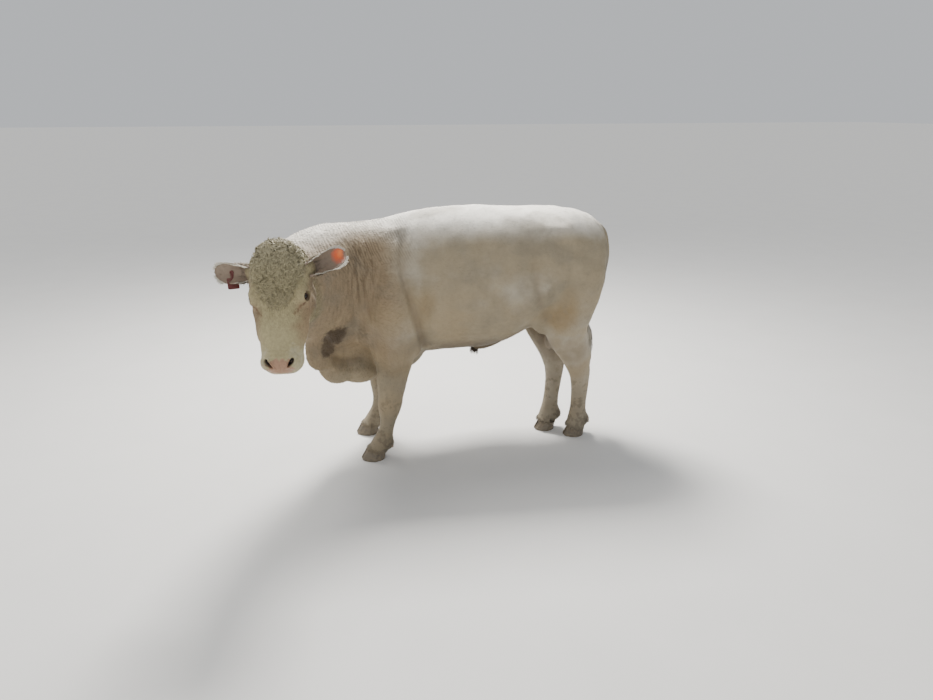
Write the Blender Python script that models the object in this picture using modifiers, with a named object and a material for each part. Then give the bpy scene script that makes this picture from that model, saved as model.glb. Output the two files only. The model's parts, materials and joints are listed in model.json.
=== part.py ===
"""Auliekol bull, polled, standing with its head turned to its left: a still, life-size body.

Metres, +Z up. The bull faces -X, its left side is -Y, and it stands on z = 0.
The flesh is modelled whole from lofts and rounded muscle forms, and then parted by thin cuts.
"""

import random
from math import atan, cos, pi, radians, sin

import bmesh
import bpy
import numpy as np
from mathutils import Matrix, Vector
from mathutils.bvhtree import BVHTree

NAME = "auliekol_bull"
SEED = 7
GOLDEN_ANGLE = pi * (3 - 5**0.5)

# Driving sizes of the animal
SKIN_GAP = 0.0003
SLIVER = 0.00005
BODY_VOXEL = 0.0115
HEAD_VOXEL = 0.0065
BODY_TRIANGLES = 5500
HEAD_TRIANGLES = 2100

# Where the hindquarters swing towards the left side, to match the turned neck
REAR_SWING = -0.07
REAR_LENGTH = 0.80

# Trunk sections: x, back height, belly height, half width, share of the depth where it is widest,
# roundness of the upper half, roundness of the lower half
TRUNK = [
    (-0.62, 1.312, 0.640, 0.205, 0.45, 1.9, 2.0),
    (-0.50, 1.348, 0.590, 0.258, 0.44, 1.8, 2.0),
    (-0.38, 1.374, 0.575, 0.280, 0.43, 1.8, 2.1),
    (-0.26, 1.389, 0.578, 0.292, 0.43, 1.9, 2.1),
    (-0.12, 1.394, 0.578, 0.307, 0.43, 2.1, 2.1),
    (0.02, 1.392, 0.578, 0.320, 0.43, 2.3, 2.1),
    (0.14, 1.385, 0.600, 0.326, 0.44, 2.4, 2.1),
    (0.26, 1.377, 0.662, 0.322, 0.45, 2.6, 2.1),
    (0.37, 1.376, 0.736, 0.304, 0.48, 2.8, 2.1),
    (0.47, 1.374, 0.752, 0.284, 0.52, 2.8, 2.1),
    (0.57, 1.360, 0.765, 0.256, 0.54, 2.5, 2.0),
    (0.655, 1.330, 0.800, 0.218, 0.54, 2.3, 2.0),
    (0.715, 1.285, 0.860, 0.168, 0.54, 2.1, 2.0),
    (0.752, 1.200, 0.960, 0.105, 0.50, 2.0, 2.0),
]

# Neck sections: centre x, y, z, height above it, depth below it, half width
NECK = [
    (-0.40, 0.000, 1.020, 0.330, 0.400, 0.200),
    (-0.56, -0.005, 1.030, 0.308, 0.430, 0.220),
    (-0.70, -0.040, 1.045, 0.288, 0.455, 0.215),
    (-0.82, -0.120, 1.070, 0.275, 0.440, 0.190),
    (-0.92, -0.230, 1.095, 0.248, 0.375, 0.168),
    (-1.00, -0.350, 1.125, 0.200, 0.290, 0.150),
    (-1.06, -0.470, 1.150, 0.150, 0.225, 0.135),
    (-1.09, -0.560, 1.170, 0.105, 0.175, 0.118),
]

# Leg sections from the top down: height, centre x, centre y, half length, half width
FORE_LEG = [
    (0.800, -0.520, -0.200, 0.160, 0.090),
    (0.700, -0.515, -0.200, 0.145, 0.085),
    (0.620, -0.520, -0.196, 0.122, 0.078),
    (0.540, -0.526, -0.190, 0.104, 0.068),
    (0.450, -0.534, -0.186, 0.082, 0.058),
    (0.380, -0.544, -0.183, 0.069, 0.052),
    (0.330, -0.548, -0.181, 0.067, 0.054),
    (0.285, -0.553, -0.179, 0.058, 0.048),
    (0.235, -0.562, -0.177, 0.043, 0.038),
    (0.180, -0.575, -0.176, 0.041, 0.036),
    (0.135, -0.592, -0.176, 0.050, 0.044),
    (0.105, -0.606, -0.176, 0.057, 0.050),
    (0.078, -0.625, -0.176, 0.055, 0.050),
    (0.045, -0.645, -0.176, 0.056, 0.051),
]
HIND_LEG = [
    (1.160, 0.545, -0.185, 0.160, 0.105),
    (1.060, 0.545, -0.200, 0.178, 0.122),
    (0.960, 0.530, -0.210, 0.180, 0.124),
    (0.860, 0.503, -0.218, 0.175, 0.118),
    (0.770, 0.489, -0.218, 0.159, 0.104),
    (0.690, 0.484, -0.214, 0.139, 0.088),
    (0.620, 0.500, -0.209, 0.125, 0.074),
    (0.560, 0.528, -0.205, 0.113, 0.062),
    (0.505, 0.558, -0.201, 0.100, 0.054),
    (0.450, 0.580, -0.199, 0.078, 0.047),
    (0.390, 0.598, -0.198, 0.062, 0.041),
    (0.320, 0.601, -0.198, 0.052, 0.038),
    (0.220, 0.597, -0.199, 0.046, 0.036),
    (0.160, 0.594, -0.200, 0.049, 0.042),
    (0.118, 0.592, -0.202, 0.057, 0.049),
    (0.082, 0.582, -0.205, 0.054, 0.049),
    (0.040, 0.568, -0.207, 0.055, 0.051),
]
# Bony forms of the left legs: centre, radii, whether of the hind leg
JOINT_FORMS = [
    ((0.645, -0.200, 0.515), (0.026, 0.026, 0.048), True),
    ((0.634, -0.202, 0.590), (0.016, 0.018, 0.080), True),
    ((-0.556, -0.181, 0.335), (0.062, 0.056, 0.050), False),
    ((0.630, -0.202, 0.112), (0.026, 0.040, 0.026), True),
    ((-0.572, -0.176, 0.100), (0.026, 0.040, 0.026), False),
]
# How the right legs stand against the mirrored left ones: shift at the floor and at the hip, along x and y
FORE_RIGHT_FOOT = (0.020, -0.006)
HIND_RIGHT_FOOT = (-0.138, -0.285)
HIND_RIGHT_HIP_SHIFT = (-0.015, -0.110)
HIP_HEIGHT = 0.86

# Muscle and bone forms of the left side: centre, radii, turn about x, y, z in degrees
SIDE_FORMS = [
    ((-0.500, -0.168, 0.990), (0.175, 0.112, 0.300), (-13, 14, 0)),
    ((-0.630, -0.155, 0.830), (0.120, 0.098, 0.160), (0, 10, 0)),
    ((-0.490, -0.190, 0.780), (0.140, 0.090, 0.190), (0, -14, 0)),
    ((-0.405, -0.190, 0.670), (0.050, 0.055, 0.075), (0, 0, 0)),
    ((0.410, -0.215, 1.235), (0.110, 0.060, 0.070), (25, 0, 0)),
    ((0.580, -0.175, 1.080), (0.140, 0.105, 0.150), (0, 0, 0)),
    ((0.690, -0.120, 1.090), (0.060, 0.066, 0.090), (0, 0, 0)),
    ((0.620, -0.165, 0.910), (0.085, 0.100, 0.170), (0, 14, 0)),
    ((0.375, -0.215, 0.800), (0.110, 0.058, 0.140), (0, 30, 0)),
    ((0.300, -0.200, 0.830), (0.130, 0.050, 0.100), (0, 35, 0)),
]
# Brisket and dewlap of the middle plane: centre, radii, turn about x, y, z in degrees
MIDDLE_FORMS = [
    ((-0.680, -0.030, 0.620), (0.190, 0.125, 0.195), (0, 20, 8)),
    ((-0.520, -0.010, 0.600), (0.220, 0.115, 0.140), (0, 0, 0)),
    ((-0.780, -0.085, 0.635), (0.165, 0.072, 0.190), (0, 35, 25)),
    ((-0.885, -0.185, 0.725), (0.150, 0.052, 0.160), (0, 50, 45)),
    ((-0.330, 0.000, 1.300), (0.240, 0.090, 0.080), (0, -8, 0)),
    ((0.715, -0.064, 1.235), (0.060, 0.052, 0.045), (0, 35, 0)),
]

# Head: place of the poll bone, direction of the face, and roll towards the right ear
POLL = Vector((-1.100, -0.662, 1.318))
FACE_PITCH = 61.0
FACE_YAW = 9.0
FACE_ROLL = 6.0
# Head sections along the face: distance, top, underside, half width, share of depth of the widest place
HEAD = [
    (-0.030, -0.035, -0.200, 0.085, 0.55),
    (0.000, -0.006, -0.240, 0.112, 0.60),
    (0.050, 0.008, -0.270, 0.130, 0.62),
    (0.110, 0.012, -0.280, 0.131, 0.64),
    (0.170, 0.008, -0.275, 0.119, 0.66),
    (0.240, -0.002, -0.252, 0.111, 0.62),
    (0.310, -0.010, -0.215, 0.101, 0.56),
    (0.380, -0.014, -0.185, 0.090, 0.52),
    (0.440, -0.018, -0.165, 0.083, 0.50),
    (0.480, -0.028, -0.152, 0.082, 0.48),
    (0.507, -0.046, -0.138, 0.073, 0.48),
    (0.522, -0.068, -0.118, 0.052, 0.50),
]
# Side forms of the head, left side: centre, radii
HEAD_SIDE_FORMS = [
    ((0.188, 0.086, -0.044), (0.056, 0.034, 0.042)),
    ((0.180, 0.080, -0.170), (0.115, 0.048, 0.090)),
    ((0.300, 0.070, -0.110), (0.110, 0.036, 0.052)),
    ((0.290, 0.088, -0.078), (0.090, 0.016, 0.014)),
    ((0.066, 0.110, -0.092), (0.046, 0.040, 0.050)),
    ((0.478, 0.050, -0.054), (0.038, 0.036, 0.034)),
    ((0.462, 0.062, -0.094), (0.048, 0.028, 0.030)),
]
HEAD_MIDDLE_FORMS = [
    ((0.005, 0.000, -0.014), (0.045, 0.085, 0.038)),
    ((0.486, 0.000, -0.082), (0.040, 0.070, 0.032)),
    ((0.450, 0.000, -0.142), (0.056, 0.058, 0.030)),
    ((0.105, 0.000, -0.024), (0.160, 0.112, 0.043)),
]

# Eyes, in the head's frame
EYE_RADIUS = 0.0195
EYE_PLACE = Vector((0.196, 0.1010, -0.044))
EYE_AIM = (0.10, 0.88, 0.45)
LID_THICK = 0.0045
LID_LENGTH = 0.040
LID_HEIGHT = 0.027

# Nostrils and mouth, in the head's frame
NOSTRIL_INNER = (0.503, 0.036)
NOSTRIL_OUTER = (0.476, 0.058)
NOSTRIL_LENGTH = 0.046
NOSTRIL_HALF_WIDTH = 0.0085
NOSTRIL_DEPTH = 0.014
MOUTH_MIDDLE = 0.425
MOUTH_HEIGHT = -0.113
MOUTH_SPREAD = 118
MOUTH_POINTS = 15
MOUTH_DEPTH = 0.009
MOUTH_WIDTH = 0.0034

# Ears: root in the head's frame, then half width and curl of the cup from root to tip
EAR_ROOT = (0.066, 0.128, -0.082)
EAR_LENGTH = 0.232
EAR_SUNK = 0.030
EAR_THICK = 0.007
EAR_STEPS = (0.0, 0.2, 0.4, 0.65, 0.85, 0.95, 1.0)
EAR_HALF = (0.052, 0.058, 0.060, 0.055, 0.037, 0.020, 0.006)
EAR_CURL = (150, 122, 88, 60, 46, 40, 36)
EAR_AIMS = {
    1: ((-0.47, 0.79, -0.39), (0.25, 0.20, 0.85)),
    -1: ((-0.10, -0.97, -0.22), (0.38, -0.26, 0.87)),
}

# Curls of the poll and forehead
CURL_DOME_MIDDLE = (0.095, 0.0, -0.115)
CURL_DIRECTIONS = 190
CURL_WIDTH = 0.043
CURL_LENGTH = 0.050
CURL_RISE = 0.017

# Thin cuts between the nodes
HEAD_CUT_AT = Vector((-0.030, 0.0, -0.030))
HEAD_CUT_OUT = (0.832, 0, 0.555)
HEAD_CUT_DOWN = (0.555, 0, -0.832)
NECK_CUT_AT = (-0.56, 1.33)
NECK_CUT_LEAN = 19.0
FORE_SPLIT = 0.300
FORE_TOP = 0.600
HIND_SPLIT = 0.440
HIND_TOP = 0.655
HIND_CUT_LEAN = 24.0
HIND_FEET_PARTED = -0.141
THIGHS_PARTED = (-0.100, -0.070)
TAIL_SPLIT = 0.900

# Hooves: middle of each left foot, claw length and width, slanted rim
FORE_FOOT = (-0.655, -0.176)
HIND_FOOT = (0.566, -0.207)
FORE_CLAW = (0.132, 0.047)
HIND_CLAW = (0.122, 0.044)
CLEFT = 0.0050
FLOOR = 0.010
CLAW_POINTS = 12
CLAW_WALL = 0.012
CROWN_BACK = 0.016
CROWN_MIDDLE = 0.062
CROWN_SLOPE = 0.26
CROWN_SHARE = 0.78
FORE_KNOB = (-0.555, -0.176, 0.090)
HIND_KNOB = (0.648, -0.203, 0.102)

TAIL_PATH = [
    (0.690, -0.062, 1.245),
    (0.745, -0.063, 1.228),
    (0.776, -0.064, 1.160),
    (0.787, -0.064, 1.080),
    (0.780, -0.064, 0.990),
    (0.758, -0.064, 0.900),
    (0.716, -0.066, 0.770),
    (0.686, -0.070, 0.655),
    (0.690, -0.074, 0.580),
]
TAIL_RADII = (0.030, 0.031, 0.027, 0.023, 0.021, 0.019, 0.017, 0.015, 0.011)

SWITCH_TOP = (0.688, -0.072, 0.640)
SWITCH_BOTTOM = (0.692, -0.075, 0.585)
SWITCH_LOCKS = 11
SHEATH_TIP = (-0.010, 0.0, 0.555)
SHEATH_LOCKS = 5
SCROTUM_MIDDLE = -0.074

# Ear tag
TAG_AT = 0.56
TAG_BOSS = 0.0105
TAG_PIN = 0.0028
TAG_WIDTH = 0.050
TAG_HEIGHT = 0.052
TAG_THICK = 0.0022
TAG_NECK = 0.022
TAG_TURN = (-24, 0, 8)

# Coat colours, as the shaded coat shows them
CREAM = (0.62, 0.54, 0.42)
PALE_FACE = (0.66, 0.58, 0.46)
NOSE_PINK = (0.60, 0.36, 0.30)
HORN = (0.20, 0.16, 0.13)
EYE_DARK = (0.015, 0.012, 0.012)
TAG_RED = (0.28, 0.03, 0.03)
SWITCH_BROWN = (0.42, 0.36, 0.28)
FINISHES = (
    ("head", PALE_FACE, 0.85),
    ("ear", PALE_FACE, 0.80),
    ("eye", EYE_DARK, 0.15),
    ("claw", HORN, 0.55),
    ("dewclaw", HORN, 0.60),
    ("tag", TAG_RED, 0.40),
    ("tail_switch", SWITCH_BROWN, 0.85),
    ("scrotum", NOSE_PINK, 0.70),
)


def clear_scene():
    """Removes what the file opened with."""
    for obj in list(bpy.data.objects):
        bpy.data.objects.remove(obj)
    for collection in list(bpy.data.collections):
        bpy.data.collections.remove(collection)


def collection_named(name):
    """A collection of the scene, made on first use."""
    found = bpy.data.collections.get(name)
    if found is None:
        found = bpy.data.collections.new(name)
        bpy.context.scene.collection.children.link(found)
    return found


def object_of(bm, name):
    """Turns a bmesh into an object of the working collection."""
    bmesh.ops.recalc_face_normals(bm, faces=bm.faces)
    mesh = bpy.data.meshes.new(name)
    bm.to_mesh(mesh)
    bm.free()
    obj = bpy.data.objects.new(name, mesh)
    collection_named("forms").objects.link(obj)
    return obj


def turned(degrees):
    """Rotation about x, then y, then z."""
    x, y, z = (radians(angle) for angle in degrees)
    return Matrix.Rotation(z, 4, "Z") @ Matrix.Rotation(y, 4, "Y") @ Matrix.Rotation(x, 4, "X")


def blob(name, centre, radii, turn=(0, 0, 0), place=Matrix(), segments=20):
    """A rounded muscle or bone form."""
    bm = bmesh.new()
    bmesh.ops.create_uvsphere(bm, u_segments=segments, v_segments=segments * 2 // 3, radius=1.0)
    shape = place @ Matrix.Translation(centre) @ turned(turn) @ Matrix.Diagonal((*radii, 1.0))
    bmesh.ops.transform(bm, matrix=shape, verts=bm.verts)
    return object_of(bm, name)


def loft(name, rings):
    """A closed body through rings that all have the same count of points."""
    bm = bmesh.new()
    loops = [[bm.verts.new(point) for point in ring] for ring in rings]
    count = len(loops[0])
    for lower, upper in zip(loops, loops[1:]):
        for i in range(count):
            j = (i + 1) % count
            bm.faces.new((lower[i], lower[j], upper[j], upper[i]))
    bm.faces.new(loops[0][::-1])
    bm.faces.new(loops[-1])
    return object_of(bm, name)


def oval(side, up, down, steps=28, upper_power=2.0, lower_power=2.0):
    """Points of an egg-shaped section: (across, height) pairs."""
    points = []
    for i in range(steps):
        angle = 2 * pi * i / steps
        power = upper_power if sin(angle) >= 0 else lower_power
        across = side * np.sign(cos(angle)) * abs(cos(angle)) ** (2 / power)
        height = (up if sin(angle) >= 0 else down) * np.sign(sin(angle)) * abs(sin(angle)) ** (2 / power)
        points.append((across, height))
    return points


def smooth_step(value):
    value = min(max(value, 0.0), 1.0)
    return value * value * (3 - 2 * value)


def mid_line(x):
    """Where the middle plane of the body lies at x, as the hindquarters swing to the left."""
    return REAR_SWING * smooth_step(x / REAR_LENGTH)


def trunk():
    rings = []
    for x, top, bottom, half, widest, upper, lower in TRUNK:
        middle = bottom + (top - bottom) * widest
        section = oval(half, top - middle, middle - bottom, 32, upper, lower)
        rings.append([(x, mid_line(x) + across, middle + height) for across, height in section])
    return loft("trunk_form", rings)


def neck():
    centres = [Vector(row[:3]) for row in NECK]
    rings = []
    for i, row in enumerate(NECK):
        ahead = centres[min(i + 1, len(NECK) - 1)] - centres[max(i - 1, 0)]
        side = Vector((-ahead.y, ahead.x, 0)).normalized()
        section = oval(row[5], row[3], row[4], 28, 2.0, 1.7)
        rings.append([centres[i] + side * across + Vector((0, 0, height)) for across, height in section])
    return loft("neck_form", rings)


def right_leg_point(x, y, z, hind):
    """Where a point of a left leg lies on the right one, which stands over its own foot."""
    foot = HIND_RIGHT_FOOT if hind else FORE_RIGHT_FOOT
    hip = HIND_RIGHT_HIP_SHIFT if hind else (0.0, 0.0)
    share = smooth_step(1 - z / HIP_HEIGHT)
    return x + hip[0] + (foot[0] - hip[0]) * share, -y + hip[1] + (foot[1] - hip[1]) * share, z


def leg(name, rows, right, hind):
    """One leg from its sections."""
    rings = []
    for height, x, y, length, half in rows:
        if right:
            x, y, _ = right_leg_point(x, y, height, hind)
        section = oval(half, length, length, 20)
        rings.append([(x + along, y + across, height) for across, along in section])
    return loft(name, rings)


def mirrored(centre, turn):
    """The right side's copy of a left form, across the swung middle plane."""
    x, y, z = centre
    return (x, 2 * mid_line(x) - y, z), (-turn[0], turn[1], -turn[2])


def body_forms():
    """Every form of the trunk, neck and legs, before they are fused."""
    forms = [trunk(), neck()]
    for right in (False, True):
        forms.append(leg("fore_leg_form", FORE_LEG, right, False))
        forms.append(leg("hind_leg_form", HIND_LEG, right, True))
    for centre, radii, turn in SIDE_FORMS:
        forms.append(blob("left_form", centre, radii, turn))
        centre, turn = mirrored(centre, turn)
        forms.append(blob("right_form", centre, radii, turn))
    for centre, radii, turn in MIDDLE_FORMS:
        forms.append(blob("middle_form", centre, radii, turn))
    forms += joint_forms()
    return forms


def joint_forms():
    """Hock points, knees and fetlocks of the four legs."""
    forms = []
    for right in (False, True):
        for centre, radii, hind in JOINT_FORMS:
            if right:
                centre = right_leg_point(*centre, hind)
            forms.append(blob("joint_form", centre, radii))
    return forms


def head_place():
    """Matrix from the head's own frame (x along the face, y to its left, z out of the forehead)."""
    pitch, yaw, roll = radians(FACE_PITCH), radians(FACE_YAW), radians(FACE_ROLL)
    level = Vector((-sin(yaw), -cos(yaw), 0))
    ahead = level * cos(pitch) + Vector((0, 0, -sin(pitch)))
    left = Vector((0, 0, 1)).cross(level)
    crown = ahead.cross(left)
    left, crown = left * cos(roll) + crown * sin(roll), crown * cos(roll) - left * sin(roll)
    place = Matrix((ahead, left, crown)).transposed().to_4x4()
    return Matrix.Translation(POLL) @ place


def head_forms():
    place = head_place()
    rings = []
    for x, top, bottom, half, widest in HEAD:
        middle = bottom + (top - bottom) * widest
        section = oval(half, top - middle, middle - bottom, 28, 2.6, 1.9)
        rings.append([place @ Vector((x, across, middle + height)) for across, height in section])
    forms = [loft("skull_form", rings)]
    for centre, radii in HEAD_SIDE_FORMS:
        for side in (1, -1):
            forms.append(blob("head_form", (centre[0], centre[1] * side, centre[2]), radii, place=place))
    for centre, radii in HEAD_MIDDLE_FORMS:
        forms.append(blob("head_form", centre, radii, place=place))
    return forms


def apply_modifiers(obj):
    """Replaces the mesh by the one that its modifiers give."""
    graph = bpy.context.evaluated_depsgraph_get()
    mesh = bpy.data.meshes.new_from_object(obj.evaluated_get(graph))
    obj.modifiers.clear()
    obj.data = mesh


def triangle_count(obj):
    obj.data.calc_loop_triangles()
    return len(obj.data.loop_triangles)


def fused(name, forms, voxel, rounds, triangles):
    """One smooth closed body out of overlapping forms, brought down to a count of triangles."""
    bm = bmesh.new()
    for form in forms:
        bm.from_mesh(form.data)
        bpy.data.objects.remove(form)
    obj = object_of(bm, name)
    remesh = obj.modifiers.new("skin", "REMESH")
    remesh.mode = "VOXEL"
    remesh.voxel_size = voxel
    soften = obj.modifiers.new("soften", "SMOOTH")
    soften.factor = 0.5
    soften.iterations = rounds
    apply_modifiers(obj)
    thin = obj.modifiers.new("thin", "DECIMATE")
    thin.ratio = triangles / triangle_count(obj)
    thin.use_collapse_triangulate = True
    apply_modifiers(obj)
    keep_largest(obj)
    return obj


def keep_largest(obj):
    """Keeps the largest closed surface of a mesh."""
    bm = bmesh.new()
    bm.from_mesh(obj.data)
    unseen = set(bm.faces)
    shells = []
    while unseen:
        start = unseen.pop()
        shell, border = [start], [start]
        while border:
            face = border.pop()
            for edge in face.edges:
                for other in edge.link_faces:
                    if other in unseen:
                        unseen.remove(other)
                        shell.append(other)
                        border.append(other)
        shells.append(shell)
    if len(shells) > 1:
        shells.sort(key=lambda shell: -sum(face.calc_area() for face in shell))
        spare = [face for shell in shells[1:] for face in shell]
        bmesh.ops.delete(bm, geom=spare, context="FACES")
        loose = [vert for vert in bm.verts if not vert.link_faces]
        bmesh.ops.delete(bm, geom=loose, context="VERTS")
        bm.to_mesh(obj.data)
    bm.free()


def combine(obj, operation, others, solver="EXACT"):
    """Boolean of one mesh with a collection of closed meshes, which are then removed."""
    tools = bpy.data.collections.new("tools")
    bpy.context.scene.collection.children.link(tools)
    for other in others:
        for holder in list(other.users_collection):
            holder.objects.unlink(other)
        tools.objects.link(other)
    step = obj.modifiers.new("combine", "BOOLEAN")
    step.operation = operation
    step.operand_type = "COLLECTION"
    step.collection = tools
    step.solver = solver
    apply_modifiers(obj)
    for other in list(tools.objects):
        bpy.data.objects.remove(other)
    bpy.data.collections.remove(tools)
    keep_largest(obj)


def drop_slivers(obj):
    """Dissolves edges and faces too small to hold any shape."""
    bm = bmesh.new()
    bm.from_mesh(obj.data)
    bmesh.ops.dissolve_degenerate(bm, dist=SLIVER, edges=bm.edges)
    bm.to_mesh(obj.data)
    bm.free()


def copy_of(obj, name, grow=0.0):
    """A separate copy, with its surface moved out by grow."""
    twin = bpy.data.objects.new(name, obj.data.copy())
    collection_named("forms").objects.link(twin)
    if grow:
        bm = bmesh.new()
        bm.from_mesh(twin.data)
        bm.normal_update()
        moves = [(vert, vert.normal * grow * vert.calc_shell_factor()) for vert in bm.verts]
        for vert, move in moves:
            vert.co += move
        bm.to_mesh(twin.data)
        bm.free()
    return twin


def placed_box(name, low, high, place):
    """A box between two corners of the frame that place gives."""
    low, high = Vector(low), Vector(high)
    bm = bmesh.new()
    bmesh.ops.create_cube(bm, size=1.0)
    shape = Matrix.Translation((low + high) / 2) @ Matrix.Diagonal((*(high - low), 1.0))
    bmesh.ops.transform(bm, matrix=place @ shape, verts=bm.verts)
    return object_of(bm, name)


def box(name, low, high, turn=(0, 0, 0), pivot=(0, 0, 0)):
    """A box between two corners, turned about a pivot."""
    about = Matrix.Translation(pivot) @ turned(turn) @ Matrix.Translation(-Vector(pivot))
    return placed_box(name, low, high, about)


def part_off(source, name, cutter_of):
    """Cuts a piece off along the cutter's faces and leaves the skin gap between the two."""
    piece = copy_of(source, name)
    combine(piece, "INTERSECT", [cutter_of(0.0)])
    combine(source, "DIFFERENCE", [cutter_of(SKIN_GAP)])
    return piece


def box_cutter(low, high, turn=(0, 0, 0), pivot=(0, 0, 0)):
    """A function that makes the same box, grown by a gap."""

    def make(gap):
        grown_low = Vector(low) - Vector((gap, gap, gap))
        grown_high = Vector(high) + Vector((gap, gap, gap))
        return box("cutter", grown_low, grown_high, turn, pivot)

    return make


def head_cutter(gap):
    """Box in front of the plane from the back of the poll to the throat."""
    low = Vector((-gap, -0.32 - gap, -0.14 - gap))
    high = Vector((0.75 + gap, 0.32 + gap, 0.44 + gap))
    frame = Matrix((HEAD_CUT_OUT, (0, 1, 0), HEAD_CUT_DOWN)).transposed().to_4x4()
    place = head_place() @ Matrix.Translation(HEAD_CUT_AT) @ frame
    return placed_box("cutter", low, high, place)


def part_body(body):
    """Parts the fused flesh into neck, trunk and the upper and lower lengths of each leg."""
    pieces = {"torso": body}
    combine(body, "DIFFERENCE", [head_cutter(SKIN_GAP)])
    x, z = NECK_CUT_AT
    lean = (0, NECK_CUT_LEAN, 0)
    pieces["neck"] = part_off(body, "neck", box_cutter((-1.6, -1.0, 0.38), (x, 0.6, 1.7), lean, (x, 0, z)))
    for side, low, high in (("left", -0.50, -0.117), ("right", 0.111, 0.45)):
        lower = box_cutter((-0.90, low, -0.05), (-0.35, high, FORE_SPLIT))
        upper = box_cutter((-0.668, low, FORE_SPLIT - 0.05), (-0.33, high, FORE_TOP))
        pieces["fore_" + side + "_lower"] = part_off(body, "fore_" + side + "_lower", lower)
        pieces["fore_" + side + "_upper"] = part_off(body, "fore_" + side + "_upper", upper)
    lean = (0, -HIND_CUT_LEAN, 0)
    for side, right in (("left", False), ("right", True)):
        low, high = (HIND_FEET_PARTED + SKIN_GAP, 0.45) if right else (-0.60, HIND_FEET_PARTED - SKIN_GAP)
        lower = box_cutter((0.20, low, -0.05), (0.90, high, HIND_SPLIT))
        low, high = (THIGHS_PARTED[1], 0.45) if right else (-0.60, THIGHS_PARTED[0])
        upper = box_cutter((0.295, low, HIND_TOP - 0.6), (0.95, high, HIND_TOP), lean, (0.30, 0, HIND_TOP))
        pieces["hind_" + side + "_lower"] = part_off(body, "hind_" + side + "_lower", lower)
        pieces["hind_" + side + "_upper"] = part_off(body, "hind_" + side + "_upper", upper)
    return pieces


def feet():
    """Each foot: name, middle of the hoof on the floor, claw length, claw width."""
    fore = (FORE_FOOT[0], FORE_FOOT[1], 0)
    hind = (HIND_FOOT[0], HIND_FOOT[1], 0)
    return [
        ("fore_left", Vector(fore), FORE_CLAW),
        ("fore_right", Vector(right_leg_point(*fore, False)), FORE_CLAW),
        ("hind_left", Vector(hind), HIND_CLAW),
        ("hind_right", Vector(right_leg_point(*hind, True)), HIND_CLAW),
    ]


def claw(name, foot, size, side):
    """Half of a cloven hoof, D-shaped with its straight face to the cleft, its sole flat on the floor."""
    length, width = size
    sole, wall, crown = [], [], []
    for i in range(CLAW_POINTS):
        angle = 2 * pi * i / CLAW_POINTS
        along = -cos(angle)
        across = (sin(angle) if sin(angle) > 0 else 0.18 * sin(angle)) + 0.22
        across *= side * width * (1 - 0.30 * smooth_step(-along))
        x = foot.x + along * length / 2
        y = foot.y + side * CLEFT / 2 + across
        crown_x = foot.x + CROWN_BACK + along * length / 2 * CROWN_SHARE
        crown_y = foot.y + side * CLEFT / 2 + across * 0.90
        crown_z = crown_height(crown_x - foot.x) - SKIN_GAP
        sole.append((foot.x + (x - foot.x) * 0.96, foot.y + (y - foot.y) * 0.98, FLOOR))
        wall.append((x, y, FLOOR + CLAW_WALL))
        crown.append((crown_x, crown_y, crown_z))
    return loft(name, [sole, wall, crown])


def crown_height(along):
    """Height of the slanted top rim of a hoof, higher at the toe."""
    return CROWN_MIDDLE - CROWN_SLOPE * (along - CROWN_BACK)


def crown_cutter(foot):
    """Box below the rim of both claws, which the pastern ends on."""
    place = Matrix.Translation((foot.x + CROWN_BACK, foot.y, CROWN_MIDDLE))
    lean = Matrix.Rotation(atan(CROWN_SLOPE), 4, "Y")
    return placed_box("cutter", (-0.2, -0.1, -0.3), (0.2, 0.1, 0.0), place @ lean)


def dewclaw(name, fetlock, side, leg_piece):
    """Small horn knob behind the fetlock, set on the skin."""
    bm = bmesh.new()
    bmesh.ops.create_cone(
        bm, cap_ends=True, segments=8, radius1=0.0145, radius2=0.0075, depth=0.034
    )
    place = Matrix.Translation(Vector(fetlock) + Vector((0, side * 0.025, 0)))
    bmesh.ops.transform(bm, matrix=place @ turned((12 * side, 148, 0)), verts=bm.verts)
    knob = object_of(bm, name)
    combine(knob, "DIFFERENCE", [copy_of(leg_piece, "grown", SKIN_GAP)])
    return knob


def smooth_path(points, count):
    """Evenly counted points of a smooth curve through the given ones."""
    points = [Vector(point) for point in points]
    result = []
    for i in range(count):
        at = i / (count - 1) * (len(points) - 1)
        k = min(int(at), len(points) - 2)
        t = at - k
        a, b = points[max(k - 1, 0)], points[k]
        c, d = points[k + 1], points[min(k + 2, len(points) - 1)]
        result.append(
            0.5 * (2 * b + (c - a) * t + (2 * a - 5 * b + 4 * c - d) * t**2 + (3 * b - a - 3 * c + d) * t**3)
        )
    return result


def tube(name, path, radii, count, resolution=2):
    """A tapered round tube along a smooth path, with filled ends."""
    curve = bpy.data.curves.new(name, "CURVE")
    curve.dimensions = "3D"
    curve.bevel_depth = 1.0
    curve.bevel_resolution = resolution
    curve.use_fill_caps = True
    spline = curve.splines.new("POLY")
    spline.points.add(count - 1)
    for i, point in enumerate(smooth_path(path, count)):
        spline.points[i].co = (*point, 1.0)
        spline.points[i].radius = float(np.interp(i / (count - 1), np.linspace(0, 1, len(radii)), radii))
    obj = bpy.data.objects.new(name, curve)
    collection_named("forms").objects.link(obj)
    graph = bpy.context.evaluated_depsgraph_get()
    bm = bmesh.new()
    bm.from_mesh(bpy.data.meshes.new_from_object(obj.evaluated_get(graph)))
    bmesh.ops.remove_doubles(bm, verts=bm.verts, dist=0.00005)
    bpy.data.objects.remove(obj)
    return object_of(bm, name)


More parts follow.
